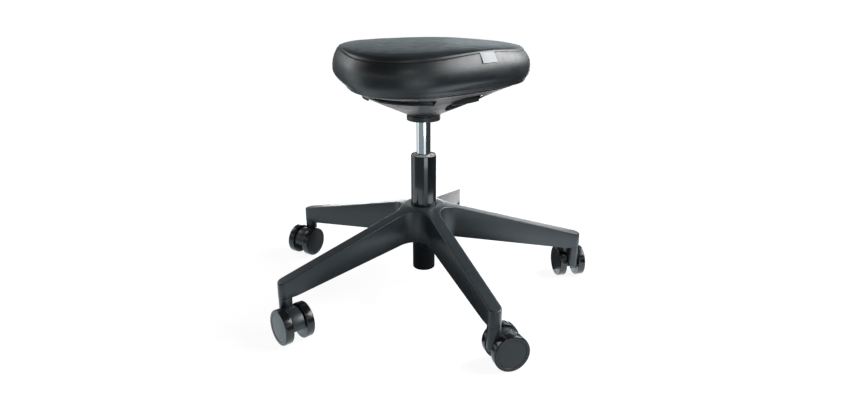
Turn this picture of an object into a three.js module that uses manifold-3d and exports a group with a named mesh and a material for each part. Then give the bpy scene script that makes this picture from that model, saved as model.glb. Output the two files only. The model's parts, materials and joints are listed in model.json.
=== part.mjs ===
// Perch stool: a five-star base on twin-wheel casters, a gas-lift column and a three-lobed padded seat.
// Millimetres, +Z up. The front lobe of the seat points along -Y, and the floor is at z = 0.
import * as THREE from 'three';
import { mergeVertices } from 'three/addons/utils/BufferGeometryUtils.js';
import Module from 'manifold-3d';

const wasm = await Module();
wasm.setup();

// General values
const degree = Math.PI / 180;
const fullTurn = 2 * Math.PI;
const fitGap = 0.3; // between pieces that touch or slide
const cutOverrun = 2; // how far a cutting solid runs past a face
const weldDistance = 0.0005; // vertices closer than this are one
const coarseSides = 12; // sides of pins, bores and hidden rings
const roundSides = 20; // sides of tubes and large rings
const arcSteps = 4; // half the segments of each arc in an extruded outline

// Casters
const casterTrail = 21; // axle behind the swivel axis
const casterTrailAngles = [115.1 * degree, 197.6 * degree, 258.9 * degree, 327.3 * degree, 35.1 * degree];
const wheelRadius = 30.8;
const wheelSides = 16;
const wheelWidth = 14.6;
const wheelFaceInset = 2.5; // face disc's edge inside the tread
const wheelFaceThickness = 1.6;
const wheelCoreInset = 2.3; // core inside the face disc's edge
const wheelBoreDepth = 12;
const tyreBevel = 2.4;
const tyreInnerBevel = 1.2;
const axleRadius = 3;
const bossRadius = 8;
const hoodWidth = 22.6;
const hoodClearance = 0.9; // between the hood and each wheel
const hoodInset = 3.8; // inside the tread
const hoodSkirt = 2; // how far the hood's trailing edge drops below the axle
const hoodWall = 3;
const neckClearance = 0.8; // inside the wheels' inner faces
const neckDip = 2.8; // neck's lower end below the axle
const stemRadius = 5.5;
const stemLowerRadius = 4.4;
const stemLowerDepth = 24;
const stemSocketRoof = 6; // of the arm over the stem
const wheelInnerFace = hoodWidth / 2 + hoodClearance;
const wheelOuterFace = wheelInnerFace + wheelWidth;
const wheelFaceRadius = wheelRadius - wheelFaceInset;
const wheelCoreRadius = wheelFaceRadius - wheelCoreInset;
const hoodRadius = wheelRadius - hoodInset;
const neckRadius = wheelInnerFace - neckClearance;

// Five-star base
const armCount = 5;
const firstArmAngle = 20.7 * degree;
const armReach = 317.5; // column axis to the outer end of an arm
const armWidth = 23;
const armTipClearance = 10.4; // from the wheels' tops up to the arms
const armTipDepth = 28;
const armTipFlat = 29; // length of the level underside at the tip
const armFilletRadius = 36; // vertical fillet between two arms
const postInset = 12; // casters' swivel axes inside the arms' ends
const hubRise = 34; // hub's underside above the tips' underside
const hubHeight = 65;
const hubTopRadius = 36; // where the arms' top slope starts
const hubBottomRadius = 40; // where their underside slope starts
const starSides = 20; // facets of the slopes, one centred on each arm
const armWall = 3.5; // side wall of the channel under an arm
const armSkin = 4.5; // top wall of that channel
const ribThickness = 2.5;
const chambersPerArm = 4;
const chamberInnerRadius = 62;
const chamberTipWall = 6; // material left between the channel and the stem socket
const armTipBottom = 2 * wheelRadius + armTipClearance;
const armTipTop = armTipBottom + armTipDepth;
const hubBottom = armTipBottom + hubRise;
const hubTop = hubBottom + hubHeight;
const casterPostRadius = armReach - postInset;
const stemSocketDepth = armTipDepth - stemSocketRoof;
const neckTop = armTipBottom - 2 * fitGap;

// Gas-lift column, outer tube
const tubeRadius = 25;
const tubeShown = 100.5; // its top above the hub
const tubeDrop = 70; // its lower end under the hub
const tubeWall = 2;
const tubeTaperShare = 1 / 40; // radius lost per unit of height inside the hub
const tubeLowerInset = 3; // narrower by this under the hub
const tubeStep = 3; // height of the step there
const tubeEdge = 1.5; // rounding of the tube's ends
const footPlateRise = 5; // above the tube's lower end
const footPlateThickness = 4;
const tubeTop = hubTop + tubeShown;
const tubeBottom = hubBottom - tubeDrop;
const tubeLowerRadius = tubeRadius - tubeLowerInset;
const footPlateBottom = tubeBottom + footPlateRise;

// Gas-lift column, inner pieces
const liftDrop = 62; // travel below the photographed height
const liftRise = 68; // travel above it
const liftTubeRadius = 14;
const liftTubeWall = 2;
const liftTubeShown = 80.5; // from the outer tube's top to the shoulder of the chrome tube's taper
const liftTubeTaperLength = 34;
const liftTubeTaperDepth = 1; // radius lost over that length
const valveSeatDepth = 22; // top of the gas space below the shoulder
const valveRadius = 3.6;
const valveDip = 2; // pin's lower end below the shoulder
const valveRise = 6; // pin's upper end above the chrome tube
const bushingLength = 74.5;
const bushingRecess = 1; // below the outer tube's top edge
const rodRadius = 5;
const rodNeckDepth = 1; // rod's neck under its radius
const rodGrooveDepth = 1; // groove's depth in the neck
const rodShoulderWidth = 2; // beyond the rod's radius
const rodShoulderHeight = 3;
const washerClearance = 5; // inside the outer tube
const washerThickness = 2;
const bumpStopInset = 3; // inside the washers' edge
const bumpStopHeight = 10.6;
const rodGuideLength = 20;
const pistonReserve = 11.2; // above the rod guide with the seat at its highest
const pistonLength = 14;
const clipThickness = 1.6;
const clipWidth = 3; // beyond the rod's neck
const clipMouth = 5;
const clipDrop = 1.2; // clip below the foot plate
const rodEndDrop = 1.6; // rod end below the clip
const liftTubeShoulder = tubeTop + liftTubeShown;
const liftTubeTip = liftTubeShoulder + liftTubeTaperLength;
const liftTubeTipRadius = liftTubeRadius - liftTubeTaperDepth;
const gasSpaceTop = liftTubeShoulder - valveSeatDepth;
const valveBottom = liftTubeShoulder - valveDip;
const valveTop = liftTubeTip + valveRise;
const rodNeckRadius = rodRadius - rodNeckDepth;
const rodGrooveRadius = rodNeckRadius - rodGrooveDepth;
const rodShoulderRadius = rodRadius + rodShoulderWidth;
const clipRadius = rodNeckRadius + clipWidth;
const washerRadius = tubeLowerRadius - tubeWall - washerClearance;
const bumpStopRadius = washerRadius - bumpStopInset;

// Seat outline and the cover's turned edge
const lobeCount = 3;
const frontLobeAngle = -90 * degree;
const seatSides = 36;
const seatMeanRadius = 184.6;
const seatLobe = 18.2;
const seatLobeCrease = 1.9;
const seatBottomInset = 12.1;
const turnUnderWidth = 2.5; // from the seat's bottom edge to the fold under it
const turnUnderRise = 0.4; // the fold above the tucked edge
const tuckWidth = 9.4; // from the fold to the cover's edge under the board
const seatWaistRadius = seatMeanRadius - seatLobe + seatLobeCrease;
const turnUnderInset = seatBottomInset + turnUnderWidth;
const tuckInset = turnUnderInset + tuckWidth;

// Seat carrier of steel
const socketWall = 4.7;
const rockerSpace = 17; // from the valve pin up to the plate
const plateThickness = 3;
const plateDiscRadius = 62;
const plateArmWidth = 36;
const plateArmEnd = 14; // beyond its bolt
const plateBoltRadius = 108; // bolts' distance from the axis
const pivotRadius = 2;
const pivotClearance = 4; // rocker pin's axis outside the socket
const pivotRise = 8.5; // above the valve pin's end
const earInnerReach = 3; // from the rocker pin's axis towards the socket
const earOuterReach = 4;
const earDrop = 3.7; // below the rocker pin's axis
const earGap = 11; // between the two ears
const earThickness = 3;
const windowWidth = 11;
const windowDip = 1.5; // below the valve pin's end
const windowRise = 5.5; // above the rocker pin's axis
const boltRadius = 3;
const boltHeadRadius = 5;
const boltHeadHeight = 4;
const boltSides = 6;
const socketRadius = liftTubeRadius + fitGap + socketWall;
const socketBottom = liftTubeShoulder;
const plateBottom = valveTop + rockerSpace;
const plateArmReach = plateBoltRadius + plateArmEnd;
const pivotDistance = socketRadius + pivotClearance;
const pivotHeight = valveTop + pivotRise;
const earInner = pivotDistance - earInnerReach;
const earOuter = pivotDistance + earOuterReach;
const earBottom = pivotHeight - earDrop;
const windowBottom = valveTop - windowDip;
const windowTop = pivotHeight + windowRise;

// Seat board, foam and cover
const boardThickness = 12;
const boardMargin = 3.9; // inside the seat's bottom edge
const seatBottomRise = 3.2; // above the board's underside
const widestRise = 28.1; // from the seat's bottom edge to its widest height
const seamInset = 11;
const seamRise = 31; // seam above the widest height
const seamDrop = 5.55; // lower at the lobes, higher between them
const sideUpperPowerShare = 1.8;
const sideLowerPowerShare = 1.6;
const rollRise = 10; // edge of the seat's flat above the seam
const rollWidth = 34; // from the seam to that edge
const rollPowerShare = 2.2;
const crownRise = 2.4; // middle of the seat above that edge
const coverThickness = 1.6;
const tagWidth = 35;
const tagHeight = 17;
const tagThickness = 0.8;
const tagDrop = 1.2; // its top edge below the seam
const boardBottom = plateBottom + plateThickness + fitGap;
const boardInset = seatBottomInset + boardMargin;
const seatBottom = boardBottom + seatBottomRise;
const widestHeight = seatBottom + widestRise;
const seamHeight = widestHeight + seamRise;
const crownEdgeHeight = seamHeight + rollRise;
const crownHeight = crownEdgeHeight + crownRise;

// Finger recesses of the shell, under the waists of the seat
const shellRimGap = 2; // between the cover's edge and the shell's rim
const recessRimWidth = 8.3; // shell left outside a recess
const recessLength = 69;
const recessOuterLength = 19; // from its widest place to its outer end
const recessHalfWidth = 36.5;
const recessInnerPowerShare = 1.6;
const recessOuterPowerShare = 2.4;
const shellRimInset = tuckInset + shellRimGap;
const recessEnd = seatWaistRadius - shellRimInset - recessRimWidth;
const recessStart = recessEnd - recessLength;
const recessWidest = recessEnd - recessOuterLength;

// Release ring and rocker
const ringDrop = 12.3; // underside below the rocker pin's axis
const ringThickness = 4.5;
const ringBarWidth = 5;
const ringBarSetback = 7.5; // hoop inside the paddles
const ringHubMargin = 5; // hub beyond the rocker's contact
const spokeWidth = 12;
const paddleSetback = 18; // paddle inside the recess's outer end
const paddleThickness = 3.5;
const paddleDip = 2.2; // below the hoop's underside
const paddleRise = 12.8; // above the hoop's underside
const paddleHalfAngle = 17.2 * degree;
const paddleWebThickness = 3.5;
const rockerWidth = 8;
const rockerInnerReach = 4; // past the column axis
const rockerContactReach = 18; // from the rocker pin's axis to where the ring's hub lifts it
const rockerContactLength = 6;
const rockerPadRise = 1; // the contact pads rise this much from their middle to their ends
const rockerRise = 4; // above the rocker pin's axis
const rockerEndDrop = 1.5; // top of its ends below that axis
const rockerDip = 3.2; // below that axis
const ringBottom = pivotHeight - ringDrop;
const paddleOuter = recessEnd - paddleSetback;
const paddleInner = paddleOuter - paddleThickness;
const paddleBottom = ringBottom - paddleDip;
const paddleTop = ringBottom + paddleRise;
const paddleWebTop = ringBottom + paddleWebThickness;
const ringBarOuter = paddleInner - ringBarSetback;
const ringBarInner = ringBarOuter - ringBarWidth;
const rockerContactRadius = pivotDistance + rockerContactReach;
const ringHubRadius = rockerContactRadius + ringHubMargin;
const rockerTop = pivotHeight + rockerRise;
const rockerEndTop = pivotHeight - rockerEndDrop;
const rockerMiddleBottom = pivotHeight - rockerDip;

// Under-seat shell
const collarWidth = 13.3; // beyond the carrier's socket
const collarDrop = 12; // below the socket
const collarHeight = 9.5;
const grooveDepth = 2.8;
const grooveHeight = 3.5;
const throatWidth = 5.2; // beyond the collar
const throatRise = 1; // above the groove
const slotSetback = 3; // outside the ring's hoop
const slotWidth = 32;
const slotHalfAngle = 27 * degree;
const bowlMidWidth = 7.5; // the bowl's middle knot beyond the slot's inner edge
const bowlMidRise = 1.3; // above the ring's underside
const bowlKneeWidth = 33.5; // from the knee out to the middle knot
const bowlKneeDrop = 15.5;
const bowlEdgeWidth = 42.5; // from the middle knot out to the edge
const bowlEdgeRise = 18.5;
const shellWall = 2.6;
const shellRimCorner = 2;
const shellNeckClearance = 1.4; // round the chrome tube
const collarRadius = socketRadius + collarWidth;
const collarBottom = socketBottom - collarDrop;
const grooveRadius = collarRadius - grooveDepth;
const bowlThroatRadius = collarRadius + throatWidth;
const bowlThroatZ = collarBottom + collarHeight + grooveHeight + throatRise;
const slotInner = ringBarOuter + slotSetback;
const slotOuter = slotInner + slotWidth;
const bowlMidRadius = slotInner + bowlMidWidth;
const bowlMidZ = ringBottom + bowlMidRise;
const bowlKneeRadius = bowlMidRadius - bowlKneeWidth;
const bowlKneeZ = bowlMidZ - bowlKneeDrop;
const bowlEdgeRadius = bowlMidRadius + bowlEdgeWidth;
const bowlEdgeZ = bowlMidZ + bowlEdgeRise;
const shellRimTop = boardBottom - fitGap;

// Materials
const finish = (color, roughness, metalness = 0) =>
  new THREE.MeshStandardMaterial({ color, roughness, metalness });
const anthracite = finish(0x4b5053, 0.55);
const blackEnamel = finish(0x0c1013, 0.22);
const chrome = finish(0xc9cccd, 0.12, 1);
const steel = finish(0x8a8d8f, 0.4, 1);
const greyNylon = finish(0xa7aaab, 0.5);
const rubber = finish(0x1a1b1c, 0.8);
const shellPlastic = finish(0x43474a, 0.6);
const leverPlastic = finish(0x22262a, 0.4);
const leatherette = finish(0x24282b, 0.45);
const foamYellow = finish(0xd9cfae, 0.95);
const plywood = finish(0xb98d5c, 0.7);
const tagFabric = finish(0x9ea2a4, 0.8);
const tyreGloss = finish(0x07090a, 0.15);
const wheelFace = finish(0x1b2023, 0.4);

// Solids

/** A closed solid from the triangles of a three.js geometry. */
function solid(geometry) {
  const bare = new THREE.BufferGeometry();
  bare.setAttribute('position', geometry.getAttribute('position').clone());
  if (geometry.index) bare.setIndex(geometry.index.clone());
  const merged = mergeVertices(bare, weldDistance);
  const place = merged.getAttribute('position');
  const corner = (i) => new THREE.Vector3().fromBufferAttribute(place, i);
  const triangles = [];
  let volume = 0;
  for (let i = 0; i < merged.index.count; i += 3) {
    const [a, b, c] = [0, 1, 2].map((k) => merged.index.getX(i + k));
    if (a === b || b === c || c === a) continue;
    triangles.push([a, b, c]);
    volume += corner(a).dot(corner(b).cross(corner(c)));
  }
  const facing = volume > 0 ? triangles : triangles.map(([a, b, c]) => [a, c, b]);
  return new wasm.Manifold(new wasm.Mesh({
    numProp: 3,
    vertProperties: new Float32Array(place.array),
    triVerts: new Uint32Array(facing.flat()),
  }));
}

/** A named mesh from a solid. */
function piece(name, body, material) {
  const mesh = body.getMesh();
  const geometry = new THREE.BufferGeometry();
  geometry.setAttribute('position', new THREE.Float32BufferAttribute(mesh.vertProperties, 3));
  geometry.setIndex(new THREE.BufferAttribute(new Uint32Array(mesh.triVerts), 1));
  geometry.computeVertexNormals();
  const node = new THREE.Mesh(geometry, material);
  node.name = name;
  return node;
}

/** A solid of revolution about Z from a profile of [radius, height], with its first side at an angle. */
function turned(profile, sides = roundSides, start = 0) {
  const points = profile.map(([radius, height]) => new THREE.Vector2(radius, height));
  if (profile[0][0] > 0) points.push(points[0].clone());
  const geometry = new THREE.LatheGeometry(points, sides, start + Math.PI / 2, fullTurn);
  return solid(geometry.rotateX(Math.PI / 2));
}

/** A ring or, with no inner radius, a disc between two heights. */
function ring(inner, outer, low, high, sides = roundSides, start = 0) {
  const profile = [[inner, low], [outer, low], [outer, high], [inner, high]];
  return turned(profile, sides, start);
}

/** An outline in the XY plane, raised from one height to another. */
function prism(shape, low, high) {
  const settings = { depth: high - low, bevelEnabled: false, curveSegments: arcSteps };
  return solid(new THREE.ExtrudeGeometry(shape, settings).translate(0, 0, low));
}

/** A box between two corners. */
function block([x0, y0, z0], [x1, y1, z1]) {
  const geometry = new THREE.BoxGeometry(x1 - x0, y1 - y0, z1 - z0);
  return solid(geometry.translate((x0 + x1) / 2, (y0 + y1) / 2, (z0 + z1) / 2));
}

/** A copy of a solid turned about Z, with the angle in radians. */
const spun = (body, angle) => body.rotate([0, 0, angle / degree]);

/** Copies of a solid spread evenly about Z and joined. */
function around(body, count, first = 0) {
  const copies = Array.from({ length: count }, (_, k) => spun(body, first + (k * fullTurn) / count));
  return copies.reduce((sum, copy) => sum.add(copy));
}

/** The corners' radius that puts the middles of a polygon's sides at a given radius. */
const cornerRadius = (flatRadius, sides) => flatRadius / Math.cos(Math.PI / sides);

/** An outline through points given as [x, y]. */
const outline = (points) => new THREE.Shape(points.map(([x, y]) => new THREE.Vector2(x, y)));

/**
 * A skin through rings of equal length: closed on itself, or ended by a fan to a point at each end.
 * Every four-sided face is split from its upper row to its lower one, so that nested skins stay parallel.
 */
function loft(rings, firstPoint = null, lastPoint = null) {
  const sides = rings[0].length;
  const places = rings.flat().concat(firstPoint ? [firstPoint] : [], lastPoint ? [lastPoint] : []);
  const at = (row, k) => row * sides + (k % sides);
  const index = [];
  const rowsJoined = firstPoint ? rings.length - 1 : rings.length;
  for (let row = 0; row < rowsJoined; row += 1) {
    const next = (row + 1) % rings.length;
    for (let k = 0; k < sides; k += 1) {
      const [a, b, c, d] = [at(row, k), at(row, k + 1), at(next, k + 1), at(next, k)];
      const falls = places[a].z >= places[d].z;
      index.push(...(falls ? [a, b, c, a, c, d] : [a, b, d, b, c, d]));
    }
  }
  if (firstPoint) {
    const first = rings.length * sides;
    const last = first + 1;
    for (let k = 0; k < sides; k += 1) {
      index.push(first, at(0, k + 1), at(0, k));
      index.push(last, at(rings.length - 1, k), at(rings.length - 1, k + 1));
    }
  }
  const geometry = new THREE.BufferGeometry();
  geometry.setAttribute('position', new THREE.Float32BufferAttribute(places.flatMap((p) => p.toArray()), 3));
  geometry.setIndex(index);
  return solid(geometry);
}

/** A point from a radius, an angle about Z and a height. */
const polar = (radius, angle, height) =>
  new THREE.Vector3(radius * Math.cos(angle), radius * Math.sin(angle), height);

// Base

/** The star's plan: straight arms with round ends, and a fillet between each two. */
function starPlan() {
  const half = armWidth / 2;
  const tipCentre = armReach - half;
  const step = fullTurn / armCount;
  const filletDistance = (half + armFilletRadius) / Math.sin(step / 2);
  const plan = new THREE.Shape();
  for (let k = 0; k < armCount; k += 1) {
    const arm = k * step;
    const between = arm + step / 2;
    const turn = Math.PI / 2 + step / 2;
    const tip = polar(tipCentre, arm, 0);
    const fillet = polar(filletDistance, between, 0);
    plan.absarc(tip.x, tip.y, half, arm - Math.PI / 2, arm + Math.PI / 2, false);
    plan.absarc(fillet.x, fillet.y, armFilletRadius, between - turn, between + turn, true);
  }
  plan.closePath();
  return plan;
}

/** A solid under the arms' sloping top, lowered by a skin, down to a given height. */
function underTopSlope(skin, low) {
  const slope = (hubTop - armTipTop) / (armReach - hubTopRadius);
  const rim = cornerRadius(armReach + cutOverrun, starSides);
  const rimTop = armTipTop - slope * cutOverrun - skin;
  const crest = cornerRadius(hubTopRadius, starSides);
  const top = hubTop - skin;
  const profile = [[0, low], [rim, low], [rim, rimTop], [crest, top], [0, top]];
  return turned(profile, starSides, Math.PI / starSides);
}

/** The wedge of space under the arms' sloping underside. */
function underStar() {
  const low = armTipBottom - cutOverrun;
  const rim = cornerRadius(armReach + cutOverrun, starSides);
  const flatStart = cornerRadius(armReach - armTipFlat, starSides);
  const profile = [
    [0, low], [rim, low], [rim, armTipBottom], [flatStart, armTipBottom],
    [cornerRadius(hubBottomRadius, starSides), hubBottom], [0, hubBottom],
  ];
  return turned(profile, starSides, Math.PI / starSides);
}

/** The open chambers between the ribs under one arm along +X. */
function armChambers() {
  const half = armWidth / 2 - armWall;
  const end = casterPostRadius - stemRadius - chamberTipWall;
  const pitch = (end - chamberInnerRadius + ribThickness) / chambersPerArm;
  const starts = Array.from({ length: chambersPerArm }, (_, k) => chamberInnerRadius + k * pitch);
  const low = armTipBottom - cutOverrun;
  const chambers = starts.map((x) => block([x, -half, low], [x + pitch - ribThickness, half, hubTop]));
  return chambers
    .reduce((sum, chamber) => sum.add(chamber))
    .intersect(underTopSlope(armSkin, low - cutOverrun));
}

/** The outer tube's radius in the hub, where it tapers like the hub's bore. */
const tubeTaper = (height) => tubeRadius - (hubTop - height) * tubeTaperShare;

function baseStar() {
  const plan = prism(starPlan(), armTipBottom, hubTop + cutOverrun);
  const socketTop = armTipBottom + stemSocketDepth + fitGap;
  const socket = ring(0, stemRadius + fitGap, armTipBottom - cutOverrun, socketTop, coarseSides)
    .translate([casterPostRadius, 0, 0]);
  const boreTop = hubTop + cutOverrun;
  const boreBottom = hubBottom - cutOverrun;
  const bore = turned([[0, boreBottom], [tubeTaper(boreBottom) + fitGap, boreBottom],
    [tubeRadius + fitGap, hubTop], [tubeRadius + fitGap, boreTop], [0, boreTop]]);
  return plan
    .intersect(underTopSlope(0, armTipBottom))
    .subtract(underStar())
    .subtract(around(armChambers().add(socket), armCount))
    .subtract(bore);
}

// Column

const footPlateTop = footPlateBottom + footPlateThickness;
const bushingTop = tubeTop - bushingRecess;
const bushingBottom = bushingTop - bushingLength;
const bushingSeatRadius = tubeRadius - tubeWall;

function columnTube() {
  const stepTop = hubBottom - fitGap;
  const innerRadius = tubeLowerRadius - tubeWall;
  const shoulder = bushingBottom - fitGap;
  return turned([
    [tubeLowerRadius - tubeEdge, tubeBottom], [tubeLowerRadius, tubeBottom + tubeEdge],
    [tubeLowerRadius, stepTop - tubeStep], [tubeTaper(stepTop), stepTop], [tubeRadius, hubTop],
    [tubeRadius, tubeTop - tubeEdge], [tubeRadius - tubeEdge, tubeTop],
    [bushingSeatRadius, tubeTop - tubeEdge], [bushingSeatRadius, shoulder],
    [innerRadius, shoulder - tubeStep], [innerRadius, footPlateTop],
    [rodNeckRadius + fitGap, footPlateTop], [rodNeckRadius + fitGap, footPlateBottom],
    [innerRadius, footPlateBottom], [innerRadius, tubeBottom],
  ]);
}

const lowerWasherBottom = footPlateTop + fitGap;
const upperWasherBottom = lowerWasherBottom + washerThickness + fitGap;
const bumpStopBottom = upperWasherBottom + washerThickness + fitGap;
const liftTubeEnd = bumpStopBottom + bumpStopHeight + liftDrop + fitGap;
const pistonBottom = liftTubeEnd + rodGuideLength + liftRise + pistonReserve;
const rodShoulderTop = pistonBottom - fitGap;
const rodHeadBottom = pistonBottom + pistonLength + fitGap;
const clipTop = footPlateBottom - clipDrop + fitGap;
const clipBottom = clipTop - clipThickness;

function pistonRod() {
  const grooveTop = clipTop + fitGap;
  const grooveBottom = clipBottom - fitGap;
  const end = clipBottom - rodEndDrop;
  const shoulderBottom = rodShoulderTop - rodShoulderHeight;
  const headTop = rodHeadBottom + rodShoulderHeight;
  return turned([
    [0, end], [rodNeckRadius, end], [rodNeckRadius, grooveBottom], [rodGrooveRadius, grooveBottom],
    [rodGrooveRadius, grooveTop], [rodNeckRadius, grooveTop], [rodNeckRadius, bumpStopBottom],
    [rodRadius, bumpStopBottom], [rodRadius, shoulderBottom], [rodShoulderRadius, shoulderBottom],
    [rodShoulderRadius, rodShoulderTop], [rodNeckRadius, rodShoulderTop], [rodNeckRadius, rodHeadBottom],
    [rodShoulderRadius, rodHeadBottom], [rodShoulderRadius, headTop], [0, headTop],
  ], coarseSides);
}

/** The sleeve that guides the chrome tube in the outer tube. */
function guideBushing() {
  return ring(liftTubeRadius + fitGap, bushingSeatRadius - fitGap, bushingBottom, bushingTop);
}

/** A ring that the rod passes through, with a running gap. */
function ringOnRod(shaftRadius, outer, low, height) {
  return ring(shaftRadius + fitGap, outer, low, low + height, coarseSides);
}

/** A thrust washer on the rod's neck. */
const thrustWasher = (low) => ringOnRod(rodNeckRadius, washerRadius, low, washerThickness);

/** A ring clip with a mouth on one side, seated in the rod's groove. */
function retainingClip() {
  const body = ring(rodGrooveRadius + fitGap, clipRadius, clipBottom, clipTop, coarseSides);
  const mouth = block(
    [0, -clipMouth / 2, clipBottom - cutOverrun],
    [clipRadius + cutOverrun, clipMouth / 2, clipTop + cutOverrun],
  );
  return body.subtract(mouth);
}

const gasRadius = liftTubeRadius - liftTubeWall;

function pressureTube() {
  const valveBore = valveRadius + fitGap;
  return turned([
    [gasRadius, liftTubeEnd], [liftTubeRadius, liftTubeEnd], [liftTubeRadius, liftTubeShoulder],
    [liftTubeTipRadius, liftTubeTip], [valveBore, liftTubeTip], [valveBore, gasSpaceTop],
    [gasRadius, gasSpaceTop],
  ]);
}

// Seat carrier

/** The three bolt holes through what lies between two heights. */
function boltHoles(low, high) {
  const hole = ring(0, boltRadius + fitGap, low - cutOverrun, high + cutOverrun, coarseSides);
  return around(hole.translate([plateBoltRadius, 0, 0]), lobeCount, frontLobeAngle);
}

/** The carrier's plate: a disc with an arm under each lobe, and a bolt hole near each arm's end. */
function carrierPlate() {
  const top = plateBottom + plateThickness;
  const disc = ring(0, plateDiscRadius, plateBottom, top);
  const arm = block([0, -plateArmWidth / 2, plateBottom], [plateArmReach, plateArmWidth / 2, top]);
  const arms = around(arm, lobeCount, frontLobeAngle);
  return disc.add(arms).subtract(boltHoles(plateBottom, top));
}

/** The two ears under the plate that hold the rocker's pin. */
function carrierEars() {
  const near = earGap / 2;
  const ear = block([earInner, near, earBottom], [earOuter, near + earThickness, plateBottom + fitGap]);
  return ear.add(ear.mirror([0, 1, 0]));
}

/** A bar along Y at the rocker's pivot. */
function pivotBar(radius, halfLength) {
  const bar = ring(0, radius, -halfLength, halfLength, coarseSides);
  return bar.rotate([90, 0, 0]).translate([pivotDistance, 0, pivotHeight]);
}

function seatCarrier() {
  const top = plateBottom + plateThickness;
  const socket = ring(0, socketRadius, socketBottom, top);
  const bore = turned([
    [0, socketBottom - cutOverrun], [liftTubeRadius + fitGap, socketBottom - cutOverrun],
    [liftTubeRadius + fitGap, liftTubeShoulder], [liftTubeTipRadius + fitGap, liftTubeTip],
    [liftTubeTipRadius + fitGap, top + cutOverrun], [0, top + cutOverrun],
  ]);
  const rockerWindow = block(
    [0, -windowWidth / 2, windowBottom],
    [socketRadius + cutOverrun, windowWidth / 2, windowTop],
  );
  const pinHole = pivotBar(pivotRadius + fitGap, earGap / 2 + earThickness + cutOverrun);
  return socket
    .add(carrierPlate())
    .add(spun(carrierEars(), frontLobeAngle))
    .subtract(bore)
    .subtract(spun(rockerWindow.add(pinHole), frontLobeAngle));
}

/** A hexagon-headed bolt through one carrier arm into the board. */
function boardBolt(angle) {
  const headTop = plateBottom - fitGap;
  const head = ring(0, boltHeadRadius, headTop - boltHeadHeight, headTop, boltSides);
  const shankTop = boardBottom + boardThickness - cutOverrun;
  const shank = ring(0, boltRadius, headTop - boltHeadHeight / 2, shankTop, coarseSides);
  return spun(head.add(shank).translate([plateBoltRadius, 0, 0]), angle);
}

// Release ring and rocker

const ringTop = ringBottom + ringThickness;

/** A sector of a ring about the angle zero. */
function ringSector(inner, outer, halfAngle, low, high) {
  const shape = new THREE.Shape();
  shape.absarc(0, 0, outer, -halfAngle, halfAngle, false);
  shape.absarc(0, 0, inner, halfAngle, -halfAngle, true);
  shape.closePath();
  return prism(shape, low, high);
}

/** A hoop under the seat with a hub, three spokes, and a finger paddle in each recess of the shell. */
function releaseRing() {
  const betweenLobes = frontLobeAngle + fullTurn / lobeCount / 2;
  const hoop = ring(ringBarInner, ringBarOuter, ringBottom, ringTop, seatSides);
  const hub = ring(socketRadius + fitGap, ringHubRadius, ringBottom, ringTop);
  const joinDepth = (ringBarOuter - ringBarInner) / 2;
  const webInner = ringBarOuter - joinDepth;
  const webOuter = (paddleInner + paddleOuter) / 2;
  const spoke = block(
    [ringHubRadius - joinDepth, -spokeWidth / 2, ringBottom],
    [ringBarInner + joinDepth, spokeWidth / 2, ringTop],
  );
  const web = ringSector(webInner, webOuter, paddleHalfAngle, ringBottom, paddleWebTop);
  const paddle = ringSector(paddleInner, paddleOuter, paddleHalfAngle, paddleBottom, paddleTop);
  return hoop.add(hub).add(around(spoke.add(web).add(paddle), lobeCount, betweenLobes));
}

/** The rocker that the ring's hub lifts at one end and that presses the valve pin at the other. */
function releaseRocker() {
  const innerEnd = -rockerInnerReach;
  const contactStart = rockerContactRadius - rockerContactLength / 2;
  const contactEnd = rockerContactRadius + rockerContactLength / 2;
  const valveContact = valveTop + fitGap;
  const valvePadEnd = valveContact + rockerPadRise;
  const ringContact = ringTop + fitGap;
  const ringPadEnd = ringContact + rockerPadRise;
  const profile = outline([
    [innerEnd, valvePadEnd], [0, valveContact], [rockerInnerReach, valvePadEnd],
    [earInner - rockerInnerReach, rockerMiddleBottom], [earOuter, rockerMiddleBottom],
    [contactStart, ringPadEnd], [rockerContactRadius, ringContact], [contactEnd, ringPadEnd],
    [contactEnd, rockerEndTop], [earOuter, rockerTop], [earInner, rockerTop], [innerEnd, rockerEndTop],
  ]);
  const half = rockerWidth / 2;
  const bar = prism(profile, -half, half).rotate([90, 0, 0]);
  return spun(bar.subtract(pivotBar(pivotRadius + fitGap, rockerWidth)), frontLobeAngle);
}

function rockerPin() {
  return spun(pivotBar(pivotRadius, earGap / 2 + earThickness), frontLobeAngle);
}

// Seat outline, shared by the shell, the board, the foam and the cover

/** The seat's widest plan radius at an angle, drawn in by an inset. */
function seatRadius(angle, inset = 0) {
  const turn = lobeCount * (angle - frontLobeAngle);
  return seatMeanRadius + seatLobe * Math.cos(turn) + seatLobeCrease * Math.cos(2 * turn) - inset;
}

const seatAngles = Array.from({ length: seatSides }, (_, k) => (k * fullTurn) / seatSides);

/** A ring of points round the seat; radius and height are functions of the angle. */
const seatRing = (radius, height) => seatAngles.map((angle) => polar(radius(angle), angle, height(angle)));

/** The seat's outline with an inset, raised between two heights. */
function seatPrism(inset, low, high) {
  return prism(outline(seatAngles.map((angle) => {
    const corner = polar(seatRadius(angle, inset), angle, 0);
    return [corner.x, corner.y];
  })), low, high);
}

// Under-seat shell

/** A quarter of an oval, from the point (ahead, 0) to the point (0, aside). */
function ovalQuarter(ahead, aside, power) {
  const steps = arcSteps + 1;
  return Array.from({ length: steps + 1 }, (_, k) => {
    const angle = ((Math.PI / 2) * k) / steps;
    const share = (value) => Math.max(value, 0) ** (2 / power);
    return [ahead * share(Math.cos(angle)), aside * share(Math.sin(angle))];
  });
}

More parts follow.
